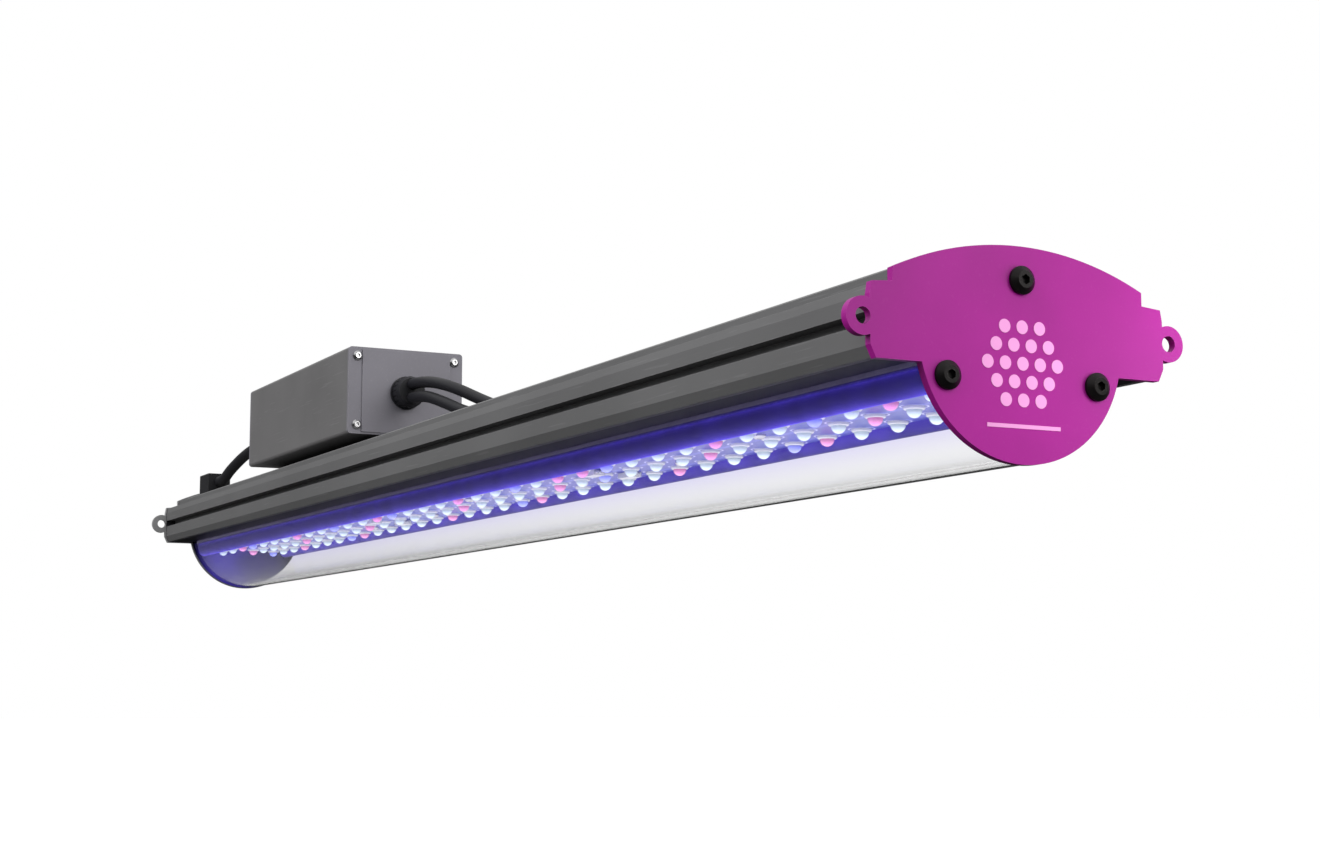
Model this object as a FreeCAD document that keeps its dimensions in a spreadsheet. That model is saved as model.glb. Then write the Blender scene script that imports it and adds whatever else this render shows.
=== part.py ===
import FreeCAD, Part
import math
import os
import re
import Sketcher

# LED grow bar: a hollow aluminium extrusion with end plates, a row of LED boards
# behind a clear half-round lens, and a driver box on top with two short cords.
# Frame: +X along the bar towards the near end plate, -Y to the front, +Z up.
# The origin is halfway along the bar, at the height of the hook holes.

Vector = FreeCAD.Vector
doc = FreeCAD.newDocument("led_grow_light")

# Driving dimensions in millimetres: name, value, what it is.
SIZES = [
    ("bar_length", 914.0, "over both end plates"),
    ("plate_thick", 3.0, "end plate"),
    ("plate_overhang", 0.6, "end plate beyond the extrusion"),
    ("gasket_thick", 1.0, "end gasket"),
    ("hook_spacing", 121.2, "hook hole to hook hole, across"),
    ("hook_radius", 2.75, "hook hole"),
    ("ear_radius", 6.2, "outside of the ring round a hook hole"),
    ("lens_drop", 3.8, "lens centre below the hook holes"),
    ("lens_radius", 39.4, "outside of the lens"),
    ("lens_wall", 2.0, "lens wall and flange"),
    ("flange_reach", 48.0, "lens flange, from the middle"),
    ("crown_height", 26.8, "top of the extrusion"),
    ("crown_radius", 115.4, "arch of the extrusion"),
    ("crown_half", 48.9, "half width of the arch"),
    ("step_height", 11.4, "foot of the step beside the arch"),
    ("wing_half", 57.4, "half width over the side faces"),
    ("side_top", 4.0, "top of a side face below the step"),
    ("edge_break", 0.7, "broken edge where a side face meets the step"),
    ("shoulder_drop", 12.4, "underside of the shoulders"),
    ("shoulder_bevel", 2.0, "bevel under a side face, across"),
    ("shoulder_rise", 3.6, "bevel under a side face, up"),
    ("wall", 2.6, "extrusion wall"),
    ("slot_width", 4.0, "side slot"),
    ("slot_depth", 6.0, "side slot"),
    ("rebate_height", 5.4, "rebate over the lens flange"),
    ("rebate_half", 52.6, "outer side of the rebate"),
    ("tongue_place", 50.0, "retainer tongue, from the middle"),
    ("tongue_thick", 2.0, "retainer tongue"),
    ("tongue_height", 2.6, "retainer tongue in its groove"),
    ("fit_gap", 0.1, "clearance of a snug fit"),
    ("thread_gap", 0.05, "clearance of a thread in its bore"),
    ("hole_gap", 0.2, "clearance of a screw in a sheet"),
    ("board_hole_gap", 0.3, "clearance of a screw in a board"),
    ("overcut", 1.0, "reach of a cut past the face that it opens"),
    ("seal_thick", 1.0, "lens seal"),
    ("seal_gap", 0.2, "lens seal outside the lens"),
    ("flange_gap", 0.3, "retainer outside the lens flange"),
    ("retainer_gap", 0.6, "retainer outside the lens"),
    ("cheek_gap", 1.251, "channel that carries the boards, inside the lens"),
    ("pedestal_drop", 15.2, "underside of the pedestal"),
    ("pedestal_lip", 0.5, "pedestal beyond the LED boards"),
    ("pedestal_slope", 2.2, "rise of the floor beside the pedestal"),
    ("floor_thick", 3.3, "pedestal"),
    ("port_gap", 0.511, "lower screw ports, inside the lens"),
    ("port_drop", 16.7, "lower screw ports below the hook holes"),
    ("port_height", 16.3, "upper screw port above the hook holes"),
    ("boss_radius", 4.6, "screw port outside"),
    ("port_bore", 2.3, "screw port bore"),
    ("end_screw_shank", 2.25, "end screw thread"),
    ("end_screw_head", 4.75, "end screw head"),
    ("end_screw_rise", 2.75, "height of an end screw's head"),
    ("end_screw_key", 1.75, "end screw socket"),
    ("end_screw_length", 16.0, "end screw under the head"),
    ("screw_clearance", 0.5, "plate hole beyond the screw"),
    ("pad_thick", 0.4, "thermal pad"),
    ("board_side_gap", 1.0, "LED board from the lower screw ports"),
    ("board_thick", 1.6, "LED board"),
    ("board_gap", 2.0, "between LED boards and at their ends"),
    ("row_edge", 6.0, "outer LED rows from the edges of the board"),
    ("leds_per_row", 12.0, "on each board"),
    ("package_radius", 3.9, "LED package"),
    ("package_height", 1.2, "LED package"),
    ("package_bevel", 0.4, "bevel round an LED package"),
    ("dome_radius", 2.9, "LED dome"),
    ("board_screw_shank", 1.45, "board screw"),
    ("board_screw_length", 7.0, "board screw under the head"),
    ("small_screw_head", 2.7, "head of a board or case screw"),
    ("small_screw_rise", 1.8, "height of a board or case screw's head"),
    ("small_screw_key", 1.1, "socket of a board or case screw"),
    ("link_length", 12.0, "connector from board to board"),
    ("link_width", 6.0, "connector from board to board"),
    ("link_height", 2.4, "connector from board to board"),
    ("link_wire", 0.6, "wire in a board connector"),
    ("link_wire_reach", 2.0, "wire beyond its board connector"),
    ("link_wire_pitch", 1.5, "wire to wire in a board connector"),
    ("driver_setback", 582.0, "driver box behind the near end plate"),
    ("driver_length", 204.0, "driver box"),
    ("driver_width", 69.0, "driver box"),
    ("driver_height", 50.0, "driver box"),
    ("driver_round", 2.0, "driver box edges"),
    ("case_wall", 1.6, "driver box wall"),
    ("panel_thick", 2.0, "driver box end panel"),
    ("panel_raise", 0.8, "raised middle of an end panel"),
    ("panel_margin", 8.0, "flat band at each side of an end panel"),
    ("panel_edge", 1.2, "flat band over and under an end panel's middle"),
    ("corner_inset", 5.2, "case screws, from the case's sides"),
    ("case_port_radius", 3.9, "screw port in a corner of the case"),
    ("case_screw_shank", 1.45, "case screw"),
    ("case_screw_length", 9.0, "case screw under the head"),
    ("inner_screw_length", 3.4, "screw from the case into a foot"),
    ("foot_thick", 2.4, "foot under the driver box"),
    ("foot_half", 12.0, "half width of a foot"),
    ("foot_reach", 13.0, "foot beyond the driver box"),
    ("foot_cover", 18.0, "foot under the driver box"),
    ("foot_screw_shank", 1.9, "foot screw"),
    ("foot_screw_head", 3.9, "foot screw head"),
    ("foot_screw_rise", 2.6, "height of a foot screw's head"),
    ("foot_screw_key", 1.6, "foot screw socket"),
    ("foot_screw_length", 7.0, "foot screw under the head"),
    ("foot_screw_shift", 0.5, "foot screw outwards of the foot's open middle"),
    ("crown_hole_depth", 10.0, "holes down through the crown"),
    ("circuit_half", 25.0, "half width of the driver's circuit board"),
    ("circuit_thick", 1.6, "driver's circuit board"),
    ("circuit_far_gap", 22.0, "circuit board from the far end of the case"),
    ("circuit_near_gap", 30.0, "circuit board from the near end of the case"),
    ("post_height", 5.0, "standoff under the circuit board"),
    ("post_radius", 3.0, "standoff"),
    ("post_inset", 8.0, "standoff from the end of the circuit board"),
    ("post_side", 20.0, "standoffs, from the middle"),
    ("stud_radius", 1.5, "stud on a standoff"),
    ("stud_rise", 3.0, "stud above the standoff"),
    ("core_length", 32.0, "transformer core"),
    ("core_width", 30.0, "transformer core"),
    ("core_height", 22.0, "transformer core"),
    ("coil_length", 22.0, "transformer winding"),
    ("coil_width", 38.0, "transformer winding"),
    ("coil_lift", 3.0, "transformer winding above the board and below the core's top"),
    ("can_height", 24.0, "capacitor"),
    ("choke_radius", 10.0, "choke ring"),
    ("choke_bore", 4.0, "choke ring"),
    ("choke_width", 10.0, "choke ring"),
    ("choke_shift", 38.0, "choke beyond the middle of the box"),
    ("terminal_shift", 47.0, "terminal block behind the near panel"),
    ("terminal_length", 12.0, "terminal block"),
    ("terminal_half", 11.0, "half width of the terminal block"),
    ("terminal_height", 8.0, "terminal block"),
    ("spreader_shift", 60.0, "heat spreader beyond the middle of the box"),
    ("spreader_thick", 8.0, "heat spreader"),
    ("spreader_half", 22.0, "half width of the heat spreader"),
    ("spreader_height", 20.0, "heat spreader"),
    ("gland_height", 24.8, "cord gland above the bottom of the driver box"),
    ("gland_radius", 9.0, "cord gland dome nut"),
    ("gland_reach", 10.0, "cord gland beyond the panel"),
    ("gland_bore", 7.5, "hole through the cord gland"),
    ("thread_radius", 8.0, "cord gland thread"),
    ("gland_lip", 1.4, "dome of a gland, in from its side"),
    ("gland_flange", 1.3, "flange of the cord gland"),
    ("gland_tail", 8.0, "cord gland inside the case"),
    ("locknut_thick", 3.5, "locknut of the cord gland"),
    ("locknut_reach", 2.0, "locknut beyond the dome nut"),
    ("groove_radius", 0.5, "grip groove round the dome nut"),
    ("bush_tail", 4.0, "bush inside the case"),
    ("gland_grip", 4.0, "depth of a cord or lead in its gland"),
    ("cord_diameter", 6.5, "both cords"),
    ("cord_spread", 8.0, "cord to cord in the gland"),
    ("core_diameter", 3.6, "cord core inside the driver box"),
    ("feed_diameter", 1.8, "wire to the LED boards"),
    ("feed_hole", 2.6, "hole for the wires in the pedestal"),
    ("lead_diameter", 7.0, "LED lead"),
    ("lead_gland_side", 22.0, "LED lead gland in front of the middle"),
    ("lead_gland_height", 17.0, "LED lead gland above the bottom of the box"),
    ("lead_gland_radius", 6.5, "LED lead gland"),
    ("lead_gland_reach", 10.0, "LED lead gland beyond the panel"),
    ("lead_gland_neck", 4.9, "LED lead gland in its hole"),
    ("lead_gland_tail", 7.0, "LED lead gland inside the panel"),
    ("boot_side", 30.0, "LED lead boot in front of the middle"),
    ("boot_length", 24.0, "LED lead boot"),
    ("boot_width", 15.0, "LED lead boot"),
    ("boot_height", 10.5, "LED lead boot above the extrusion"),
    ("boot_setback", 89.0, "LED lead boot beyond the driver box"),
    ("boot_spigot", 8.0, "spigot under the boot"),
    ("boot_spigot_drop", 5.0, "spigot below the top of the extrusion"),
    ("boot_mouth", 5.0, "depth of the lead in its boot"),
    ("boot_roof", 2.0, "boot over the lead"),
    ("boot_toe", 3.0, "low end of the boot's slope above the extrusion"),
    ("relief_length", 24.0, "tapered relief on a connector"),
    ("relief_radius", 5.6, "thick end of a relief"),
    ("relief_lip", 0.5, "thin end of a relief over the cord"),
    ("grip_length", 9.0, "moulded grip of a connector"),
    ("grip_lip", 0.6, "moulded grip over the relief"),
    ("barrel_radius", 5.0, "plug barrel inside the coupling ring"),
    ("barrel_length", 15.0, "plug barrel from the grip to its flange"),
    ("barrel_flange", 0.7, "flange on the barrel"),
    ("flange_thick", 2.0, "flange on the barrel"),
    ("barrel_wall", 0.8, "wall round the pins"),
    ("nose_length", 10.0, "nose of the plug"),
    ("socket_wall", 1.3, "wall of the socket"),
    ("ring_gap", 0.3, "coupling ring around the plug"),
    ("ring_radius", 7.4, "coupling ring"),
    ("ring_length", 26.0, "coupling ring"),
    ("ring_slack", 0.4, "coupling ring from the grip and the flange"),
    ("ring_bevel", 0.6, "bevels of the coupling ring"),
    ("flute_radius", 0.7, "grip flute round the coupling ring"),
    ("flute_inset", 3.0, "grip flute from each end of the ring"),
    ("pin_radius", 0.8, "contact pin"),
    ("pin_length", 5.0, "contact pin"),
    ("pin_circle", 1.9, "contact pins, from the connector's middle"),
    ("contact_depth", 6.0, "hollow that the contacts stand in"),
    ("socket_length", 17.0, "barrel of the socket"),
    ("sleeve_wall", 0.5, "wall of a contact sleeve"),
]

# Sizes that follow from the driving ones.
DERIVED = {
    "section_length": "bar_length - 2 * (plate_thick + gasket_thick)",
    "section_start": "-section_length / 2",
    "crown_centre": "crown_height - crown_radius",
    "crown_edge": "crown_centre + sqrt(crown_radius^2 - crown_half^2)",
    "cheek_half": "sqrt(lens_inner^2 - (pedestal_drop - pedestal_slope - lens_drop)^2) - cheek_gap",
    "port_side": "sqrt((lens_inner - boss_radius - port_gap)^2 - (port_drop - lens_drop)^2)",
    "board_half": "port_side - boss_radius - board_side_gap",
    "pedestal_half": "board_half + pedestal_lip",
    "row_spacing": "board_half - row_edge",
    "board_screw_side": "row_spacing / 2",
    "link_side": "row_spacing / 2",
    "rebate_line": "-shoulder_drop + rebate_height",
    "flange_upper": "rebate_line - seal_thick",
    "flange_lower": "flange_upper - lens_wall",
    "lens_inner": "lens_radius - lens_wall",
    "board_top": "-pedestal_drop - pad_thick",
    "board_face": "board_top - board_thick",
    "dome_base": "board_face - package_height",
    "board_length": "(section_length - 4 * board_gap) / 3",
    "led_pitch": "board_length / leds_per_row",
    "driver_near": "bar_length / 2 - driver_setback",
    "driver_far": "driver_near - driver_length",
    "driver_bottom": "crown_height + foot_thick",
    "driver_top": "driver_bottom + driver_height",
    "case_start": "driver_far + panel_raise + panel_thick",
    "case_length": "driver_length - 2 * (panel_raise + panel_thick)",
    "gland_line": "driver_bottom + gland_height",
    "lead_line": "driver_bottom + lead_gland_height",
    "foot_length": "foot_reach + foot_cover",
    "cell_edge": "wing_half - slot_depth - wall",
    "boot_middle": "driver_far - boot_setback - boot_length / 2",
}

sheet = doc.addObject("Spreadsheet::Sheet", "Dims")
for row, (alias, size, meaning) in enumerate(SIZES, start=1):
    sheet.set("A%d" % row, alias)
    sheet.set("B%d" % row, str(size))
    sheet.setAlias("B%d" % row, alias)
    sheet.set("C%d" % row, meaning)
doc.recompute()
DRIVING = {alias for alias, size, meaning in SIZES}


def cell(expression):
    """Write an expression in terms of the sheet's own cells."""

    def swap(match):
        word = match.group(0)
        if word in DERIVED:
            return "(" + cell(DERIVED[word]) + ")"
        if word in DRIVING:
            return "Dims." + word
        return word

    return re.sub(r"\b[a-z][a-z0-9_]*\b", swap, str(expression))


def size_of(expression):
    """The number that an expression has now."""
    return float(sheet.evalExpression(cell(expression)))


def bind(thing, name, expression):
    """Tie one property to the sheet."""
    thing.setExpression(name, cell(expression))


def place(thing, x="0", y="0", z="0"):
    """Tie the position of an object to the sheet."""
    for axis, expression in (("x", x), ("y", y), ("z", z)):
        bind(thing, "Placement.Base." + axis, expression)


TURN_X = FreeCAD.Rotation(Vector(0, 1, 0), 90)
TURN_BACK = FreeCAD.Rotation(Vector(0, 1, 0), -90)
UPRIGHT = FreeCAD.Rotation()
OVER = FreeCAD.Rotation(Vector(1, 0, 0), 180)
parts = []


def keep(thing, label):
    """Name a finished sub-part."""
    thing.Label = label
    parts.append(thing)
    return thing


# ---------------------------------------------------------------- sketches


def new_body(name):
    return doc.addObject("PartDesign::Body", name)


def new_sketch(body, role, name, lift=None):
    """A sketch on one of the body's own origin planes, lifted along its normal."""
    plane = [item for item in body.Origin.OriginFeatures if item.Role == role][0]
    sketch = body.newObject("Sketcher::SketchObject", name)
    sketch.AttachmentSupport = (plane, [""])
    sketch.MapMode = "FlatFace"
    if lift is not None:
        bind(sketch, "AttachmentOffset.Base.z", lift)
    return sketch


def pin_down(sketch, item, end, across, up):
    """Fix one end of a line or arc at a place read from the sheet."""
    for kind, expression in (("DistanceX", across), ("DistanceY", up)):
        index = sketch.addConstraint(Sketcher.Constraint(kind, -1, 1, item, end, size_of(expression)))
        bind(sketch, "Constraints[%d]" % index, expression)


def add_loop(sketch, corners):
    """A closed outline. A corner is (across, up) or (across, up, radius, side).

    A radius makes the edge that leaves the corner an arc. Side 1 puts the arc's
    centre on the left of the way to the next corner, and -1 on the right.
    """
    spots = [Vector(size_of(corner[0]), size_of(corner[1]), 0) for corner in corners]
    ends = []
    for number, corner in enumerate(corners):
        start = spots[number]
        stop = spots[(number + 1) % len(corners)]
        if len(corner) == 2:
            item = sketch.addGeometry(Part.LineSegment(start, stop), False)
            ends.append((item, 1, 2))
            continue
        radius = size_of(corner[2])
        side = corner[3]
        chord = stop - start
        depth = math.sqrt(radius ** 2 - chord.Length ** 2 / 4)
        normal = Vector(-chord.y, chord.x, 0).normalize()
        centre = (start + stop) * 0.5 + normal * depth * side
        first, last = (start, stop) if side > 0 else (stop, start)
        angles = [math.atan2(end.y - centre.y, end.x - centre.x) for end in (first, last)]
        circle = Part.Circle(centre, Vector(0, 0, 1), radius)
        item = sketch.addGeometry(Part.ArcOfCircle(circle, angles[0], angles[1]), False)
        ends.append((item, 1, 2) if side > 0 else (item, 2, 1))
        index = sketch.addConstraint(Sketcher.Constraint("Radius", item, radius))
        bind(sketch, "Constraints[%d]" % index, corner[2])
    for number, (item, begin, finish) in enumerate(ends):
        after, after_begin, after_finish = ends[(number + 1) % len(ends)]
        sketch.addConstraint(Sketcher.Constraint("Coincident", item, finish, after, after_begin))
        pin_down(sketch, item, begin, corners[number][0], corners[number][1])


def add_circle(sketch, across, up, radius):
    """A circle at a place read from the sheet."""
    centre = Vector(size_of(across), size_of(up), 0)
    item = sketch.addGeometry(Part.Circle(centre, Vector(0, 0, 1), size_of(radius)), False)
    index = sketch.addConstraint(Sketcher.Constraint("Radius", item, size_of(radius)))
    bind(sketch, "Constraints[%d]" % index, radius)
    pin_down(sketch, item, 3, across, up)


def both_sides(right, over=(), under=()):
    """An outline from its right half, bottom to top. Over and under are arcs that close it."""
    left = [("-(%s)" % across, up) for across, up in reversed(right)]
    return right[:-1] + [right[-1] + over] + left[:-1] + [left[-1] + under]


def box_loop(low_across, high_across, low_up, high_up):
    return [(low_across, low_up), (high_across, low_up), (high_across, high_up), (low_across, high_up)]


def pad(body, sketch, length, name):
    feature = body.newObject("PartDesign::Pad", name)
    feature.Profile = sketch
    bind(feature, "Length", length)
    body.Tip = feature
    return feature


def pocket(body, sketch, length, name, forward=True):
    """Cut a sketch into the body, and make sure that it cuts."""
    doc.recompute()
    before = body.Shape.Volume
    feature = body.newObject("PartDesign::Pocket", name)
    feature.Profile = sketch
    feature.Reversed = forward
    bind(feature, "Length", length)
    body.Tip = feature
    doc.recompute()
    if body.Shape.Volume >= before:
        raise RuntimeError(name + " cuts nothing")
    return feature


def turned(name, outline):
    """A body turned about its own X axis, from an outline of (along, radius)."""
    body = new_body(name)
    sketch = new_sketch(body, "XY_Plane", name + "_sketch")
    add_loop(sketch, outline)
    feature = body.newObject("PartDesign::Revolution", name + "_turn")
    feature.Profile = sketch
    feature.ReferenceAxis = (sketch, ["H_Axis"])
    feature.Angle = 360
    body.Tip = feature
    return body


def strip(name, outline, start, length):
    """A body of one section along X."""
    body = new_body(name)
    sketch = new_sketch(body, "YZ_Plane", name + "_section")
    add_loop(sketch, outline)
    pad(body, sketch, length, name + "_pad")
    place(body, x=start)
    return body


# -------------------------------------------------------------- primitives


def block(name, x, y, z):
    """A box between pairs of low and high values."""
    box = doc.addObject("Part::Box", name)
    for side, (low, high) in (("Length", x), ("Width", y), ("Height", z)):
        bind(box, side, "(%s) - (%s)" % (high, low))
    place(box, x[0], y[0], z[0])
    return box


def rod(name, radius, height, x, y, z, turn=UPRIGHT):
    """A cylinder that starts at a point and runs along +Z, or where the turn takes +Z."""
    cylinder = doc.addObject("Part::Cylinder", name)
    bind(cylinder, "Radius", radius)
    bind(cylinder, "Height", height)
    cylinder.Placement = FreeCAD.Placement(Vector(), turn)
    place(cylinder, x, y, z)
    return cylinder


def cut(name, base, tool):
    result = doc.addObject("Part::Cut", name)
    result.Base = base
    result.Tool = tool
    return result


def fuse(name, shapes):
    result = doc.addObject("Part::MultiFuse", name)
    result.Shapes = shapes
    return result


def gather(label, shapes):
    """One sub-part of separate solids, kept as made."""
    doc.recompute()
    group = doc.addObject("Part::Feature", label)
    group.Shape = Part.Compound([solid for shape in shapes for solid in shape.Solids])
    return keep(group, label)


def copies(pattern, spots, turn=UPRIGHT):
    """Copies of a pattern piece at the spots, turned about the piece's own origin."""
    doc.recompute()
    made = []
    for spot in spots:
        shape = pattern.Shape.copy()
        shape.Placement = FreeCAD.Placement(Vector(*spot), turn).multiply(shape.Placement)
        made.append(shape)
    return made


def pan_screw(name, head, height, shank, length, key):
    """A screw along Z with its head's underside at the origin and a hexagon socket."""
    body = new_body(name)
    sketch = new_sketch(body, "XZ_Plane", name + "_sketch")
    outline = [
        ("0", "-(%s)" % length),
        (shank, "-(%s)" % length),
        (shank, "0"),
        (head, "0"),
        (head, "(%s) * 0.4" % height),
        ("(%s) * 0.6" % head, height),
        ("0", height),
    ]
    add_loop(sketch, outline)
    feature = body.newObject("PartDesign::Revolution", name + "_turn")
    feature.Profile = sketch
    feature.ReferenceAxis = (sketch, ["V_Axis"])
    feature.Angle = 360
    body.Tip = feature
    socket = doc.addObject("Part::Prism", name + "_socket")
    socket.Polygon = 6
    bind(socket, "Circumradius", key)
    bind(socket, "Height", height)
    place(socket, z="(%s) * 0.4" % height)
    return cut(name + "_cut", body, socket)


# --------------------------------------------------------------- extrusion


def section_top(grow):
    """Right side of the section from its shoulder to the end of its arch."""
    return [
        ("wing_half - shoulder_bevel + (%s)" % grow, "-shoulder_drop - (%s)" % grow),
        ("wing_half + (%s)" % grow, "-shoulder_drop + shoulder_rise"),
        ("wing_half + (%s)" % grow, "step_height - side_top"),
        ("wing_half - edge_break + (%s)" % grow, "step_height - edge_break + (%s)" % grow),
        ("crown_half + (%s)" % grow, "step_height + (%s)" % grow),
        ("crown_half + (%s)" % grow, "crown_edge + (%s)" % grow),
    ]


def port_spots():
    return [("0", "port_height"), ("port_side", "-port_drop"), ("-port_side", "-port_drop")]


def make_heatsink():
    body = new_body("heatsink")
    outer = new_sketch(body, "YZ_Plane", "heatsink_outline")
    right = [
        ("pedestal_half", "-pedestal_drop"),
        ("cheek_half", "-pedestal_drop + pedestal_slope"),
        ("cheek_half", "rebate_line"),
        ("rebate_half", "rebate_line"),
        ("rebate_half", "-shoulder_drop"),
    ] + section_top("0")
    add_loop(outer, both_sides(right, over=("crown_radius", 1)))
    pad(body, outer, "section_length", "heatsink_pad")

    cells = new_sketch(body, "YZ_Plane", "heatsink_cells")
    inner = "(crown_radius - wall)"
    for sign, side in (("", 1), ("-", -1)):
        near_web = "wall / 2"
        corners = [
            (sign + "(%s)" % near_web, "-pedestal_drop + floor_thick"),
            (sign + "(cheek_half - wall)", "-pedestal_drop + floor_thick"),
            (sign + "(cheek_half - wall)", "rebate_line + wall"),
            (sign + "(cell_edge - wall)", "rebate_line + wall"),
            (sign + "(cell_edge - wall)",
             "crown_centre + sqrt(%s^2 - (cell_edge - wall)^2)" % inner, inner, side),
            (sign + "(%s)" % near_web, "crown_centre + sqrt(%s^2 - (%s)^2)" % (inner, near_web)),
        ]
        add_loop(cells, corners)
    pocket(body, cells, "section_length", "heatsink_cells_cut")

    bosses = new_sketch(body, "YZ_Plane", "heatsink_bosses")
    for across, up in port_spots():
        add_circle(bosses, across, up, "boss_radius")
    pad(body, bosses, "section_length", "heatsink_bosses_pad")

    bores = new_sketch(body, "YZ_Plane", "heatsink_bores")
    for across, up in port_spots():
        add_circle(bores, across, up, "port_bore")
    pocket(body, bores, "section_length", "heatsink_bores_cut")

    slots = new_sketch(body, "YZ_Plane", "heatsink_slots")
    groove = "(tongue_thick / 2 + fit_gap)"
    for sign in ("", "-"):
        add_loop(slots, box_loop(sign + "(wing_half - slot_depth)", sign + "(wing_half + overcut)",
                                 "-slot_width / 2", "slot_width / 2"))
    pocket(body, slots, "section_length", "heatsink_slots_cut")

    grooves = new_sketch(body, "YZ_Plane", "heatsink_grooves")
    for sign in ("", "-"):
        add_loop(grooves, box_loop(sign + "(tongue_place - %s)" % groove,
                                   sign + "(tongue_place + %s)" % groove,
                                   "rebate_line - overcut", "rebate_line + tongue_height + fit_gap"))
    pocket(body, grooves, "section_length", "heatsink_grooves_cut")

    # Holes through the floor for the board screws, and through the crown for the
    # feet and the LED lead. The body starts at X = 0 before it is placed.
    floor_holes = new_sketch(body, "XY_Plane", "heatsink_floor_holes", "-pedestal_drop - overcut")
    for x, y in board_screw_spots():
        add_circle(floor_holes, "%s - section_start" % x, y, "board_screw_shank + fit_gap")
    feed_x, feed_y = feed_spot()
    add_circle(floor_holes, "%s - section_start" % feed_x, feed_y, "feed_hole")
    pocket(body, floor_holes, "floor_thick + 2 * overcut", "heatsink_floor_cut")

    crown_holes = new_sketch(body, "XY_Plane", "heatsink_crown_holes", "crown_height - crown_hole_depth")
    for x in foot_screw_lines():
        add_circle(crown_holes, "%s - section_start" % x, "0", "foot_screw_shank + fit_gap")
    add_circle(crown_holes, "boot_middle - section_start", "-boot_side", "lead_diameter / 2")
    pocket(body, crown_holes, "crown_hole_depth + overcut", "heatsink_crown_cut")
    place(body, x="section_start")
    return keep(body, "heatsink_profile")


def board_starts():
    """Where each LED board begins, from the far end."""
    step = "(board_length + board_gap)"
    return ["(section_start + board_gap + %d * %s)" % (number, step) for number in range(3)]


def feed_spot():
    """Where the wires come through the floor to the far board."""
    x, y = FEED_ROUTE[-1][:2]
    return "(boot_middle + %s)" % x, str(y)


def board_screw_spots():
    """Three screws to a board, on alternate sides of the middle row."""
    spots = []
    for start in board_starts():
        for number in range(3):
            sign = "-" if number % 2 else ""
            spots.append(("(%s + (%d * 4 + 2) * led_pitch)" % (start, number),
                          sign + "board_screw_side"))
    return spots


def foot_screw_lines():
    return ["(driver_near + foot_reach / 2 + foot_screw_shift)",
            "(driver_far - foot_reach / 2 - foot_screw_shift)"]


# ------------------------------------------------------- boards and LEDs


def make_boards():
    strip_pad = strip("pad_strip", box_loop("-board_half", "board_half",
                                            "board_top", "-pedestal_drop"),
                      "section_start + board_gap", "section_length - 2 * board_gap")
    feed_x, feed_y = feed_spot()
    holes = new_sketch(strip_pad, "XY_Plane", "pad_holes", "board_top - overcut")
    for x, y in board_screw_spots():
        add_circle(holes, "%s - section_start - board_gap" % x, y, "board_screw_shank + board_hole_gap")
    add_circle(holes, "%s - section_start - board_gap" % feed_x, feed_y, "feed_hole")
    pocket(strip_pad, holes, "pad_thick + 2 * overcut", "pad_holes_cut")
    keep(strip_pad, "thermal_pad")

    labels = ("led_board_far", "led_board_middle", "led_board_near")
    for number, (label, start) in enumerate(zip(labels, board_starts())):
        board = strip(label + "_body", box_loop("-board_half", "board_half",
                                                "board_face", "board_top"), start, "board_length")
        holes = new_sketch(board, "XY_Plane", label + "_holes", "board_face - overcut")
        for x, y in board_screw_spots()[3 * number:3 * number + 3]:
            add_circle(holes, "%s - %s" % (x, start), y, "board_screw_shank + board_hole_gap")
        if label == "led_board_far":
            add_circle(holes, "%s - %s" % (feed_x, start), feed_y, "feed_hole")
        pocket(board, holes, "board_thick + 2 * overcut", label + "_holes_cut")
        keep(board, label)


def led_spots():
    """LED centres: the middle row is half a pitch along from the outer rows."""
    pitch = size_of("led_pitch")
    spots = []
    for start in board_starts():
        for row in (-1, 0, 1):
            offset = 0.75 if row == 0 else 0.25
            for number in range(int(size_of("leds_per_row"))):
                x = size_of(start) + (number + offset) * pitch
                spots.append((x, row * size_of("row_spacing"), led_kind(len(spots))))
    return spots


def led_kind(number):
    """Every fifth LED is deep red and every seventh is blue; the rest are white."""
    if number % 5 == 2:
        return "red"
    if number % 7 == 3:
        return "blue"
    return "white"


def make_leds():
    package = turned("package_pattern", [
        ("0", "0"), ("0", "package_radius"), ("package_height * 0.7", "package_radius"),
        ("package_height", "package_radius - package_bevel"), ("package_height", "0")])
    dome = turned("dome_pattern", [
        ("0", "0"), ("0", "dome_radius", "dome_radius", -1), ("dome_radius", "0")])
    face = size_of("board_face")
    base = size_of("dome_base")
    spots = led_spots()
    gather("led_packages", copies(package, [(x, y, face) for x, y, kind in spots], TURN_X))
    for colour in ("white", "red", "blue"):
        places = [(x, y, base) for x, y, kind in spots if kind == colour]
        gather("led_domes_" + colour, copies(dome, places, TURN_X))


def make_board_fasteners():
    screw = pan_screw("board_screw", "small_screw_head", "small_screw_rise", "board_screw_shank",
                      "board_screw_length", "small_screw_key")
    spots = [(size_of(x), size_of(y), size_of("board_face")) for x, y in board_screw_spots()]
    gather("board_screws", copies(screw, spots, OVER))
    link = block("link_block", ("-link_length / 2", "link_length / 2"),
                 ("-link_width / 2", "link_width / 2"), ("-link_height", "0"))
    wires = []
    for number in (-1, 0, 1):
        wires.append(rod("link_wire_%d" % (number + 1), "link_wire", "link_length + 2 * link_wire_reach",
                         "-link_length / 2 - link_wire_reach", "%d * link_wire_pitch" % number,
                         "-link_height / 2", TURN_X))
    joined = fuse("link_pattern", [link] + wires)
    spots = []
    for start in board_starts()[1:]:
        for side in ("-link_side", "link_side"):
            spots.append((size_of(start + " - board_gap / 2"), size_of(side), size_of("board_face")))
    gather("board_links", copies(joined, spots))


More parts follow.
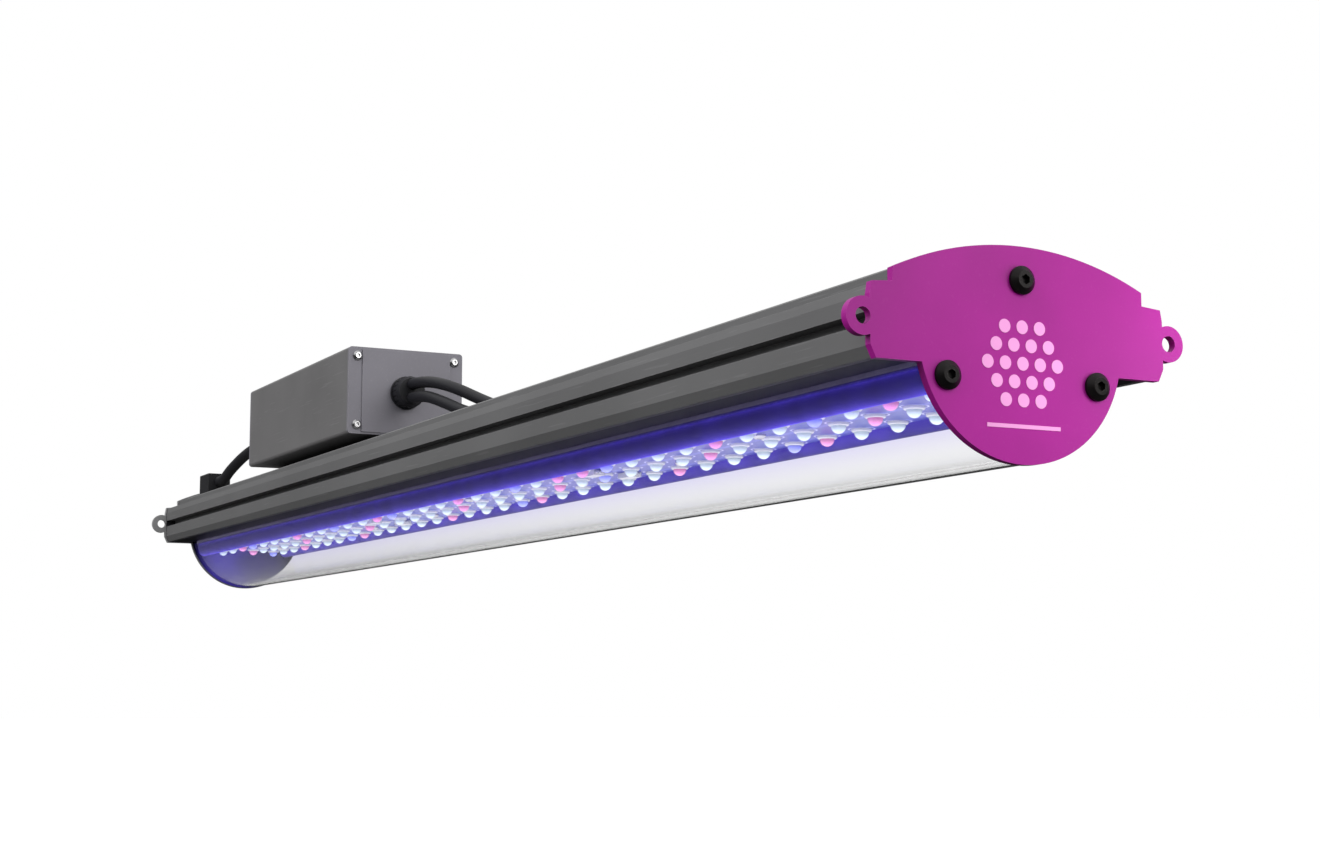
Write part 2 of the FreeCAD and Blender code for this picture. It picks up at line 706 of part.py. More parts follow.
# ------------------------------------------------------------------- lens


def make_lens():
    outer_edge = "sqrt(lens_radius^2 - (flange_lower + lens_drop)^2)"
    inner_edge = "sqrt(lens_inner^2 - (flange_upper + lens_drop)^2)"
    outline = [
        (outer_edge, "flange_lower"),
        ("flange_reach", "flange_lower"),
        ("flange_reach", "flange_upper"),
        (inner_edge, "flange_upper", "lens_inner", -1),
        ("-" + inner_edge, "flange_upper"),
        ("-flange_reach", "flange_upper"),
        ("-flange_reach", "flange_lower"),
        ("-" + outer_edge, "flange_lower", "lens_radius", 1),
    ]
    keep(strip("lens_body", outline, "section_start", "section_length"), "lens_cover")

    for label, sign in (("front", "-"), ("back", "")):
        seal = box_loop(sign + "(lens_radius + seal_gap)", sign + "flange_reach",
                        "flange_upper", "rebate_line")
        keep(strip("seal_" + label, seal, "section_start", "section_length"), "lens_seal_" + label)
        retainer = [
            (sign + "(lens_radius + retainer_gap)", "-shoulder_drop"),
            (sign + "(rebate_half - fit_gap)", "-shoulder_drop"),
            (sign + "(rebate_half - fit_gap)", "rebate_line - fit_gap"),
            (sign + "(tongue_place + tongue_thick / 2)", "rebate_line - fit_gap"),
            (sign + "(tongue_place + tongue_thick / 2)", "rebate_line + tongue_height"),
            (sign + "(tongue_place - tongue_thick / 2)", "rebate_line + tongue_height"),
            (sign + "(tongue_place - tongue_thick / 2)", "rebate_line - fit_gap"),
            (sign + "(flange_reach + flange_gap)", "rebate_line - fit_gap"),
            (sign + "(flange_reach + flange_gap)", "flange_lower"),
            (sign + "(lens_radius + retainer_gap)", "flange_lower"),
        ]
        keep(strip("retainer_" + label, retainer, "section_start", "section_length"),
             "lens_retainer_" + label)


# ------------------------------------------------------------------- ends


def end_outline(grow):
    """The whole outline of the section and lens, grown outwards."""
    radius = "(lens_radius + (%s))" % grow
    low = "(-shoulder_drop - (%s))" % grow
    corner = ("sqrt(%s^2 - (%s + lens_drop)^2)" % (radius, low), low)
    arch = "crown_radius + (%s)" % grow
    return both_sides([corner] + section_top(grow), over=(arch, 1), under=(radius, 1))


def make_ends():
    ends = (("near", "bar_length / 2 - plate_thick", "bar_length / 2 - plate_thick - gasket_thick"),
            ("far", "-bar_length / 2", "-bar_length / 2 + plate_thick"))
    for label, plate_start, gasket_start in ends:
        plate = new_body("plate_" + label)
        outline = new_sketch(plate, "YZ_Plane", "plate_%s_outline" % label)
        add_loop(outline, end_outline("plate_overhang"))
        pad(plate, outline, "plate_thick", "plate_%s_pad" % label)
        ears = new_sketch(plate, "YZ_Plane", "plate_%s_ears" % label)
        holes = new_sketch(plate, "YZ_Plane", "plate_%s_holes" % label)
        for sign in ("", "-"):
            add_circle(ears, sign + "hook_spacing / 2", "0", "ear_radius")
            add_circle(holes, sign + "hook_spacing / 2", "0", "hook_radius")
        for across, up in port_spots():
            add_circle(holes, across, up, "end_screw_shank + screw_clearance")
        pad(plate, ears, "plate_thick", "plate_%s_ears_pad" % label)
        pocket(plate, holes, "plate_thick", "plate_%s_holes_cut" % label)
        place(plate, x=plate_start)
        keep(plate, "end_plate_" + label)

        gasket = strip("gasket_" + label, end_outline("0"), gasket_start, "gasket_thick")
        openings = new_sketch(gasket, "YZ_Plane", "gasket_%s_holes" % label)
        for across, up in port_spots():
            add_circle(openings, across, up, "end_screw_shank + screw_clearance")
        pocket(gasket, openings, "gasket_thick", "gasket_%s_cut" % label)
        keep(gasket, "end_gasket_" + label)

    screw = pan_screw("end_screw", "end_screw_head", "end_screw_rise", "end_screw_shank",
                      "end_screw_length", "end_screw_key")
    half = size_of("bar_length / 2")
    for label, x, turn in (("near", half, TURN_X), ("far", -half, TURN_BACK)):
        spots = [(x, size_of(across), size_of(up)) for across, up in port_spots()]
        gather("end_screws_" + label, copies(screw, spots, turn))


# ------------------------------------------------------------- driver box


def rounded_box(half, low, high, radius):
    """A rectangle with round corners, centred across, anticlockwise."""
    inset = "(%s - %s)" % (half, radius)
    left = "-%s" % inset
    low_in = "%s + %s" % (low, radius)
    high_in = "%s - %s" % (high, radius)
    return [
        (left, low), (inset, low, radius, 1),
        (half, low_in), (half, high_in, radius, 1),
        (inset, high), (left, high, radius, 1),
        ("-(%s)" % half, high_in), ("-(%s)" % half, low_in, radius, 1),
    ]


def corner_spots():
    """Case screws: (across, up) from the middle and from the hook holes."""
    across = "(driver_width / 2 - corner_inset)"
    return [(sign + across, up) for sign in ("", "-")
            for up in ("(driver_bottom + corner_inset)", "(driver_top - corner_inset)")]


def foot_case_lines():
    return ["(driver_near - foot_cover / 2)", "(driver_far + foot_cover / 2)"]


def make_case():
    half = "driver_width / 2"
    case = strip("case_body", rounded_box("(%s)" % half, "driver_bottom", "driver_top", "driver_round"),
                 "case_start", "case_length")
    inside = new_sketch(case, "YZ_Plane", "case_inside")
    add_loop(inside, box_loop("-(%s - case_wall)" % half, "%s - case_wall" % half,
                              "driver_bottom + case_wall", "driver_top - case_wall"))
    pocket(case, inside, "case_length", "case_inside_cut")
    ports = new_sketch(case, "YZ_Plane", "case_ports")
    bores = new_sketch(case, "YZ_Plane", "case_bores")
    for across, up in corner_spots():
        add_circle(ports, across, up, "case_port_radius")
        add_circle(bores, across, up, "case_screw_shank + thread_gap")
    pad(case, ports, "case_length", "case_ports_pad")
    pocket(case, bores, "case_length", "case_bores_cut")
    holes = new_sketch(case, "XY_Plane", "case_foot_holes", "driver_bottom - overcut")
    for x in foot_case_lines():
        add_circle(holes, "%s - case_start" % x, "0", "case_screw_shank + hole_gap")
    pocket(case, holes, "case_wall + 2 * overcut", "case_foot_cut")
    keep(case, "driver_case")

    ends = (("near", "case_start + case_length", "0", "panel_thick", "gland_line", "0",
             "thread_radius + fit_gap"),
            ("far", "driver_far", "panel_raise", "0", "lead_line", "-lead_gland_side",
             "lead_gland_neck + hole_gap"))
    for label, start, sheet_start, field_start, hole_up, hole_across, hole_radius in ends:
        panel = new_body("panel_" + label)
        flat = new_sketch(panel, "YZ_Plane", "panel_%s_flat" % label, sheet_start)
        add_loop(flat, rounded_box("(%s)" % half, "driver_bottom", "driver_top", "driver_round"))
        pad(panel, flat, "panel_thick", "panel_%s_sheet" % label)
        field = new_sketch(panel, "YZ_Plane", "panel_%s_field" % label, field_start)
        reach = "(%s - panel_margin)" % half
        add_loop(field, box_loop("-" + reach, reach,
                                 "driver_bottom + panel_edge", "driver_top - panel_edge"))
        pad(panel, field, "panel_raise", "panel_%s_raise" % label)
        holes = new_sketch(panel, "YZ_Plane", "panel_%s_holes" % label)
        for across, up in corner_spots():
            add_circle(holes, across, up, "case_screw_shank + hole_gap")
        add_circle(holes, hole_across, hole_up, hole_radius)
        pocket(panel, holes, "panel_thick + panel_raise", "panel_%s_cut" % label)
        place(panel, x=start)
        keep(panel, "driver_panel_" + label)

    screw = pan_screw("case_screw", "small_screw_head", "small_screw_rise", "case_screw_shank",
                      "case_screw_length", "small_screw_key")
    solids = []
    faces = (("driver_near - panel_raise", TURN_X), ("driver_far + panel_raise", TURN_BACK))
    for x, turn in faces:
        spots = [(size_of(x), size_of(across), size_of(up)) for across, up in corner_spots()]
        solids += copies(screw, spots, turn)
    gather("driver_panel_screws", solids)


def make_feet():
    edge = "(crown_centre + sqrt(crown_radius^2 - foot_half^2))"
    outline = [("foot_half", edge), ("foot_half", "driver_bottom"),
               ("-foot_half", "driver_bottom"), ("-foot_half", edge, "crown_radius", -1)]
    starts = (("near", "driver_near - foot_cover"), ("far", "driver_far - foot_reach"))
    for number, (label, start) in enumerate(starts):
        foot = strip("foot_" + label, outline, start, "foot_length")
        holes = new_sketch(foot, "XY_Plane", "foot_%s_holes" % label, "crown_height - overcut")
        outer_hole = "%s - (%s)" % (foot_screw_lines()[number], start)
        inner_hole = "%s - (%s)" % (foot_case_lines()[number], start)
        add_circle(holes, outer_hole, "0", "foot_screw_shank + hole_gap")
        add_circle(holes, inner_hole, "0", "case_screw_shank + thread_gap")
        pocket(foot, holes, "foot_thick + 2 * overcut", "foot_%s_cut" % label)
        keep(foot, "driver_foot_" + label)
    screw = pan_screw("foot_screw", "foot_screw_head", "foot_screw_rise", "foot_screw_shank",
                      "foot_screw_length", "foot_screw_key")
    spots = [(size_of(x), 0, size_of("driver_bottom")) for x in foot_screw_lines()]
    gather("driver_foot_screws", copies(screw, spots))
    inside = pan_screw("foot_case_screw", "small_screw_head", "small_screw_rise", "case_screw_shank",
                       "inner_screw_length", "small_screw_key")
    spots = [(size_of(x), 0, size_of("driver_bottom + case_wall")) for x in foot_case_lines()]
    gather("driver_case_screws", copies(inside, spots))


# Capacitors: along and across from the middle of the box, and radius.
CAN_SPOTS = ((32, -12, 8), (32, 8, 8), (46, -15, 5), (46, 14, 5))


def make_driver_inside():
    """Circuit board on standoffs, with the parts of a constant-current supply."""
    low = "(driver_bottom + case_wall)"
    shelf = "(%s + post_height)" % low
    top = "(%s + circuit_thick)" % shelf
    back = "(case_start + circuit_far_gap)"
    front = "(case_start + case_length - circuit_near_gap)"
    board = block("driver_board", (back, front), ("-circuit_half", "circuit_half"), (shelf, top))
    post_spots = [(x, y) for x in (back + " + post_inset", front + " - post_inset")
                  for y in ("-post_side", "post_side")]
    holes = []
    posts = []
    for number, (x, y) in enumerate(post_spots):
        holes.append(rod("board_hole_%d" % number, "stud_radius + hole_gap", "circuit_thick + 2 * overcut",
                         x, y, shelf + " - overcut"))
        post = rod("board_post_%d" % number, "post_radius", "post_height", x, y, low)
        stud = rod("board_stud_%d" % number, "stud_radius", "post_height + stud_rise", x, y, low)
        posts.append(fuse("standoff_%d" % number, [post, stud]))
    keep(cut("driver_board_cut", board, fuse("board_holes", holes)), "driver_circuit_board")
    doc.recompute()
    gather("driver_standoffs", [post.Shape for post in posts])

    middle = "(driver_far + driver_length / 2)"
    core = block("transformer_core", (middle + " - core_length / 2", middle + " + core_length / 2"),
                 ("-core_width / 2", "core_width / 2"), (top, top + " + core_height"))
    coil = block("transformer_coil", (middle + " - coil_length / 2", middle + " + coil_length / 2"),
                 ("-coil_width / 2", "coil_width / 2"),
                 (top + " + coil_lift", top + " + core_height - coil_lift"))
    keep(fuse("transformer_fused", [core, coil]), "driver_transformer")
    cans = []
    for number, (along, across, radius) in enumerate(CAN_SPOTS):
        cans.append(rod("can_%d" % number, str(radius), "can_height", "%s + %d" % (middle, along),
                        str(across), top))
    doc.recompute()
    gather("driver_capacitors", [can.Shape for can in cans])
    ring = turned("choke_ring", [("-choke_width / 2", "choke_bore"), ("-choke_width / 2", "choke_radius"),
                                 ("choke_width / 2", "choke_radius"), ("choke_width / 2", "choke_bore")])
    place(ring, middle + " - choke_shift", "0", top + " + choke_radius + hole_gap")
    keep(ring, "driver_choke")
    block_low = "driver_near - terminal_shift"
    terminal = block("terminal_block", (block_low, block_low + " + terminal_length"),
                     ("-terminal_half", "terminal_half"), (top, top + " + terminal_height"))
    keep(terminal, "driver_terminal_block")
    plate_low = middle + " - spreader_shift"
    plate = block("spreader_plate", (plate_low, plate_low + " + spreader_thick"),
                  ("-spreader_half", "spreader_half"), (top, top + " + spreader_height"))
    keep(plate, "driver_heat_spreader")


# ------------------------------------------------------------ cord gland


BOOT_SLOPE = -32


def make_glands():
    nut = turned("gland_nut_body", [
        ("gland_flange + hole_gap", "thread_radius + fit_gap"),
        ("gland_flange + hole_gap", "gland_radius - groove_radius"),
        ("gland_flange + hole_gap + groove_radius", "gland_radius"),
        ("gland_reach * 0.7", "gland_radius"), ("gland_reach", "gland_radius - gland_lip"),
        ("gland_reach", "gland_bore"), ("gland_reach - gland_lip", "gland_bore"),
        ("gland_reach - gland_lip", "thread_radius + fit_gap")])
    place(nut, "driver_near", "0", "gland_line")
    ribs = []
    for number, angle in enumerate(range(0, 360, 20)):
        ribs.append(rod("gland_groove_%d" % number, "groove_radius", "gland_reach * 0.55", "driver_near + 2",
                        "(gland_radius + fit_gap) * cos(%d deg)" % angle,
                        "gland_line + (gland_radius + fit_gap) * sin(%d deg)" % angle, TURN_X))
    keep(cut("gland_nut_cut", nut, fuse("gland_grooves", ribs)), "cord_gland_nut")

    depth = "(panel_raise + panel_thick + gland_tail)"
    flange = "gland_radius + groove_radius + fit_gap"
    end = "gland_reach - gland_lip - hole_gap"
    body = turned("gland_body", [
        ("-" + depth, "gland_bore"), ("-" + depth, "thread_radius"), ("0", "thread_radius"),
        ("0", flange), ("gland_flange", flange), ("gland_flange", "thread_radius"),
        (end, "thread_radius"), (end, "gland_bore")])
    place(body, "driver_near", "0", "gland_line")
    keep(body, "cord_gland_body")
    lock = turned("gland_lock", [
        ("0", "thread_radius + thread_gap"), ("0", "gland_radius + locknut_reach"),
        ("locknut_thick", "gland_radius + locknut_reach"), ("locknut_thick", "thread_radius + thread_gap")])
    place(lock, "driver_near - panel_raise - panel_thick - locknut_thick", "0", "gland_line")
    keep(lock, "cord_gland_locknut")
    bush = rod("bush_core", "gland_bore - thread_gap", "gland_reach + bush_tail", "driver_near - bush_tail",
               "0", "gland_line", TURN_X)
    holes = []
    for number, sign in enumerate(("", "-")):
        holes.append(rod("bush_hole_%d" % number, "cord_diameter / 2 + thread_gap", "gland_grip + overcut",
                         "driver_near + gland_reach - gland_grip", "0",
                         "gland_line + %scord_spread / 2" % sign, TURN_X))
    keep(cut("bush_cut", bush, fuse("bush_holes", holes)), "cord_gland_bush")

    lead = turned("lead_gland_body", [
        ("-lead_gland_tail", "0"), ("-lead_gland_tail", "lead_gland_neck"), ("0", "lead_gland_neck"),
        ("0", "lead_gland_radius"), ("lead_gland_reach * 0.6", "lead_gland_radius"),
        ("lead_gland_reach", "lead_gland_radius - gland_lip"),
        ("lead_gland_reach", "lead_diameter / 2 + thread_gap"),
        ("lead_gland_reach - gland_grip", "lead_diameter / 2 + thread_gap"),
        ("lead_gland_reach - gland_grip", "0")])
    lead.Placement = FreeCAD.Placement(Vector(), FreeCAD.Rotation(Vector(0, 0, 1), 180))
    place(lead, "driver_far", "-lead_gland_side", "lead_line")
    keep(lead, "lead_gland")

    crown = "(crown_centre + sqrt(crown_radius^2 - boot_side^2))"
    low = "crown_centre + sqrt(crown_radius^2 - (boot_side + boot_width / 2)^2)"
    shell = block("boot_block", ("boot_middle - boot_length / 2", "boot_middle + boot_length / 2"),
                  ("-boot_side - boot_width / 2", "-boot_side + boot_width / 2"),
                  (low, crown + " + boot_height"))
    round_under = rod("boot_under", "crown_radius", "boot_length + 2 * overcut",
                      "boot_middle - boot_length / 2 - overcut", "0", "crown_centre", TURN_X)
    plug = rod("boot_plug", "lead_diameter / 2 - fit_gap", "boot_spigot", "boot_middle", "-boot_side",
               crown + " - boot_spigot_drop")
    sloped = block("boot_slope", ("0", "boot_length"), ("-boot_width", "boot_width"), ("0", "boot_height"))
    sloped.Placement = FreeCAD.Placement(Vector(), FreeCAD.Rotation(Vector(0, 1, 0), BOOT_SLOPE))
    place(sloped, "boot_middle - boot_length / 2 - overcut", "-boot_side", crown + " + boot_toe")
    hole = rod("boot_hole", "lead_diameter / 2 + thread_gap", "boot_mouth + overcut",
               "boot_middle + boot_length / 2 - boot_mouth", "-boot_side",
               crown + " + boot_height - lead_diameter / 2 - boot_roof", TURN_X)
    seat = cut("boot_seated", shell, fuse("boot_cuts", [round_under, sloped, hole]))
    keep(fuse("boot_fused", [seat, plug]), "lead_boot")


# ----------------------------------------------------------------- cords


ARC_SHARE = 0.45


def tube_along(points, diameter, label):
    """A round tube along straight runs joined by arcs as large as the runs allow."""
    spots = [Vector(*point) for point in points]
    edges = []
    start = spots[0]
    for before, corner, after in zip(spots, spots[1:], spots[2:]):
        inward = before - corner
        outward = after - corner
        half_turn = (math.pi - inward.getAngle(outward)) / 2
        reach = ARC_SHARE * min(inward.Length, outward.Length)
        radius = reach / math.tan(half_turn)
        print("%s bend radius %.0f mm, run %.0f mm" % (label, radius, inward.Length))
        inward.normalize()
        outward.normalize()
        begin = corner + inward * reach
        end = corner + outward * reach
        bisector = (inward + outward).normalize()
        top = corner + bisector * (radius / math.cos(half_turn) - radius)
        edges.append(Part.LineSegment(start, begin).toShape())
        edges.append(Part.Arc(begin, top, end).toShape())
        start = end
    edges.append(Part.LineSegment(start, spots[-1]).toShape())
    path = Part.Wire(edges)
    length = path.Length
    heading = (spots[1] - spots[0]).normalize()
    ring = Part.Wire([Part.Circle(spots[0], heading, diameter / 2).toShape()])
    tube = path.makePipeShell([ring], True, True)
    ideal = math.pi * diameter ** 2 / 4 * length
    print("%s length %.0f mm, volume ratio %.4f" % (label, length, tube.Volume / ideal))
    if abs(tube.Volume / ideal - 1) > 0.01:
        raise RuntimeError(label + " has a faulty tube")
    return tube


# Routes of the cords in millimetres, from the cord gland's middle at the near panel.
INPUT_ROUTE = [(6, 0, 4), (27, 0, 4), (53, 7, -2), (79, 18, -14), (110, 27.5, -24.7),
               (145, 31, -27.2), (167, 32, -23.6), (182, 32, -23.6)]
LINK_ROUTE = [(6, 0, -4), (26, 0, -4), (49, 3.5, -10.5), (75, 10, -20.5), (109, 16, -24.2),
              (155, 17, -24.6), (209, 16, -24.4), (255, 21.5, -25.2), (288, 29.5, -26.4),
              (313, 32, -23.6), (329, 32, -23.6)]
# The LED lead's route, from the far panel at the height of its gland.
LEAD_ROUTE = [(-6, -22, 0), (-22, -22, 0), (-42, -26, -5), (-62, -29.8, -13.1), (-78, -30, -18.37),
              (-94, -30, -18.37)]
# The LED lead's two wires inside the extrusion, from the boot's middle at the height
# of the hook holes, down through the floor to the board.
FEED_ROUTE = [(0, -30, 17.5), (0, -29.5, 8), (-0.5, -26, -2), (-1.5, -21.5, -9), (-2, -21, -17.2)]
# A cord's core inside the driver box, from its own line at the near panel.
CORE_ROUTE = [(-4, 0, 0), (-22, 0, 0), (-35, 3, -3), (-40, 5, -6.8)]


def lay_cord(label, points, width, x, z):
    """A cord's tube, placed from the gland that it comes out of."""
    tube = doc.addObject("Part::Feature", label)
    tube.Shape = tube_along(points, size_of(width), label)
    place(tube, x=x, z=z)
    return keep(tube, label)


def make_cords():
    lay_cord("input_cord", INPUT_ROUTE, "cord_diameter", "driver_near", "gland_line")
    lay_cord("link_cord", LINK_ROUTE, "cord_diameter", "driver_near", "gland_line")
    lay_cord("led_lead", LEAD_ROUTE, "lead_diameter", "driver_far", "lead_line")
    feeds = []
    for side in (-1, 1):
        aside = side * size_of("feed_diameter + hole_gap * 2") / 2
        beside = [(size_of("boot_middle") + x, y + aside, z) for x, y, z in FEED_ROUTE]
        feeds.append(tube_along(beside, size_of("feed_diameter"), "feed_wires"))
    gather("feed_wires", feeds)
    # Both cores drop onto the terminal block's top, so the upper one falls further.
    cores = []
    near = size_of("driver_near")
    for side in (-1, 1):
        offset = side * size_of("cord_spread") / 2
        line = size_of("gland_line") + offset
        path = []
        for (x, y, z), share in zip(CORE_ROUTE, (0, 0, 0.5, 1)):
            path.append((near + x, side * y, line + z - offset * share))
        cores.append(tube_along(path, size_of("core_diameter"), "driver_leads"))
    gather("driver_leads", cores)


def connector_place(route):
    """Where a cord ends, as three expressions."""
    x, y, z = route[-1]
    return "(driver_near + %s)" % x, str(y), "(gland_line + %s)" % z


def make_connectors():
    relief = [("0", "0"), ("0", "cord_diameter / 2 + relief_lip"), ("relief_length", "relief_radius"),
              ("relief_length", "0")]
    grip = "relief_radius + grip_lip"
    shoulder = "(relief_length + grip_length)"
    flange = "(%s + barrel_length)" % shoulder
    flange_end = "(%s + flange_thick)" % flange
    nose = "(%s + nose_length)" % flange
    nose_radius = "(barrel_radius - grip_lip)"
    plug = [
        ("relief_length", "0"), ("relief_length", grip), (shoulder, grip),
        (shoulder, "barrel_radius"), (flange, "barrel_radius"), (flange, "barrel_radius + barrel_flange"),
        (flange_end, "barrel_radius + barrel_flange"), (flange_end, nose_radius),
        (nose, nose_radius), (nose, nose_radius + " - barrel_wall"),
        (nose + " - contact_depth", nose_radius + " - barrel_wall"), (nose + " - contact_depth", "0")]
    lip = "(%s - ring_slack)" % flange
    start = "(%s + ring_slack)" % shoulder
    mouth = "(%s + ring_length)" % start
    inner = "barrel_radius + ring_gap"
    wide = "barrel_radius + barrel_flange + ring_gap"
    coupling = [
        (start, inner), (start, "ring_radius - ring_bevel"),
        (start + " + ring_bevel", "ring_radius"), (mouth + " - ring_bevel", "ring_radius"),
        (mouth, "ring_radius - ring_bevel"), (mouth, wide), (lip, wide), (lip, inner)]
    for label, route in (("input", INPUT_ROUTE), ("link", LINK_ROUTE)):
        boot = turned(label + "_relief_body", relief)
        place(boot, *connector_place(route))
        keep(boot, label + "_cord_relief")

    x, y, z = connector_place(INPUT_ROUTE)
    body = turned("input_plug", plug)
    place(body, x, y, z)
    keep(body, "input_plug_body")

    ring = turned("coupling", coupling)
    place(ring, x, y, z)
    flutes = []
    flute_start = "%s + %s + flute_inset" % (x, start)
    for number, angle in enumerate(range(0, 360, 30)):
        flutes.append(rod("flute_%d" % number, "flute_radius", "ring_length - 2 * flute_inset", flute_start,
                          "%s + (ring_radius + hole_gap) * cos(%d deg)" % (y, angle),
                          "%s + (ring_radius + hole_gap) * sin(%d deg)" % (z, angle), TURN_X))
    keep(cut("coupling_cut", ring, fuse("flutes", flutes)), "input_coupling_ring")

    pins = []
    for number, (across, up) in enumerate(contact_spots(y, z)):
        pins.append(rod("pin_%d" % number, "pin_radius", "pin_length", "%s + %s - contact_depth" % (x, nose),
                        across, up, TURN_X))
    doc.recompute()
    gather("input_pins", [pin.Shape for pin in pins])

    x, y, z = connector_place(LINK_ROUTE)
    outer = "barrel_radius + ring_bevel + ring_gap"
    front = "(%s + socket_length)" % shoulder
    floor = "(%s - contact_depth)" % front
    socket = [("relief_length", "0"), ("relief_length", grip), (shoulder, grip), (shoulder, outer),
              (front, outer), (front, outer + " - socket_wall"), (floor, outer + " - socket_wall"),
              (floor, "0")]
    body = turned("link_socket", socket)
    place(body, x, y, z)
    keep(body, "link_socket_body")
    sleeves = []
    begin = "%s + %s" % (x, floor)
    for number, (across, up) in enumerate(contact_spots(y, z)):
        sleeve = rod("sleeve_%d" % number, "pin_radius + sleeve_wall", "pin_length", begin,
                     across, up, TURN_X)
        bore = rod("sleeve_bore_%d" % number, "pin_radius + thread_gap", "pin_length", begin + " + overcut",
                   across, up, TURN_X)
        sleeves.append(cut("sleeve_cut_%d" % number, sleeve, bore))
    doc.recompute()
    gather("link_contacts", [sleeve.Shape for sleeve in sleeves])


def contact_spots(y, z):
    """Three contacts round a connector's middle, as expressions across and up."""
    spots = []
    for angle in range(90, 450, 120):
        spots.append(("%s + pin_circle * cos(%d deg)" % (y, angle),
                      "%s + pin_circle * sin(%d deg)" % (z, angle)))
    return spots


make_heatsink()
make_boards()
make_leds()
make_board_fasteners()
make_lens()
make_ends()
make_case()
make_feet()
make_driver_inside()
make_glands()
make_cords()
make_connectors()

doc.recompute()
faults = [item.Name for item in doc.Objects if {"Invalid", "Error"} & set(item.State)]
for part in parts:
    if part.Shape.isNull() or not part.Shape.isValid():
        faults.append(part.Label)
if faults:
    raise RuntimeError("faulty objects: " + ", ".join(faults))

os.makedirs("parts", exist_ok=True)
for part in parts:
    part.Shape.exportStep("parts/%s.step" % part.Label)
    print("%-24s %3d solids %10.0f mm3" % (part.Label, len(part.Shape.Solids), part.Shape.Volume))
print(len(parts), "sub-parts")
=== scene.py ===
"""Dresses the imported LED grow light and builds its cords, boots, print and studio."""

import logging
import math
from dataclasses import dataclass
from enum import Enum
from typing import Iterable, Sequence

import bmesh
import bpy
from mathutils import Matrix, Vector


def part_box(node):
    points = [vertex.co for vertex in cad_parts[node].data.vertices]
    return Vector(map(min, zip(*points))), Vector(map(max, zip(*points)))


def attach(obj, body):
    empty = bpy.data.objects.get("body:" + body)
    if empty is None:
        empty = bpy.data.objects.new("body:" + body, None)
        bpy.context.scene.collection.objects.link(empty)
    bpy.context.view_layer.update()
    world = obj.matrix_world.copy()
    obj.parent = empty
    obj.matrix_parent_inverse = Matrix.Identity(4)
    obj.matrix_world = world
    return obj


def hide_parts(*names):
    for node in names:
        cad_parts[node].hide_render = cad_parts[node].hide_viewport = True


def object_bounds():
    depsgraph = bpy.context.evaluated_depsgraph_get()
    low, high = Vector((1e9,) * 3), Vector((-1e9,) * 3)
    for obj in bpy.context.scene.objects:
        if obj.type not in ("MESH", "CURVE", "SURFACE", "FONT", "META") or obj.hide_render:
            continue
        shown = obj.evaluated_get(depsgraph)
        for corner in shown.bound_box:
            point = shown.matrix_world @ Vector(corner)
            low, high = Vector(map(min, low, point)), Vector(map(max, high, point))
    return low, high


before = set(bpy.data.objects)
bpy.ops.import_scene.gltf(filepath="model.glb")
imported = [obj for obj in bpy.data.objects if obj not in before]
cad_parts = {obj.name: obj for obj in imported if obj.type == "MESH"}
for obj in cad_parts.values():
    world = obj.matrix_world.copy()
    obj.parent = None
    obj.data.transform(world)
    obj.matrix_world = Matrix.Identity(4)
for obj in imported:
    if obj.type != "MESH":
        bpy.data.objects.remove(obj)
CAD_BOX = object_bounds()
LOG = logging.getLogger("grow_light")

MM = 0.001
SHARP_EDGE = math.radians(40)
MAIN_BODY = "fixture"
Colour = tuple[float, float, float]
Socket = bpy.types.NodeSocket


# ------------------------------------------------------------------ node graphs


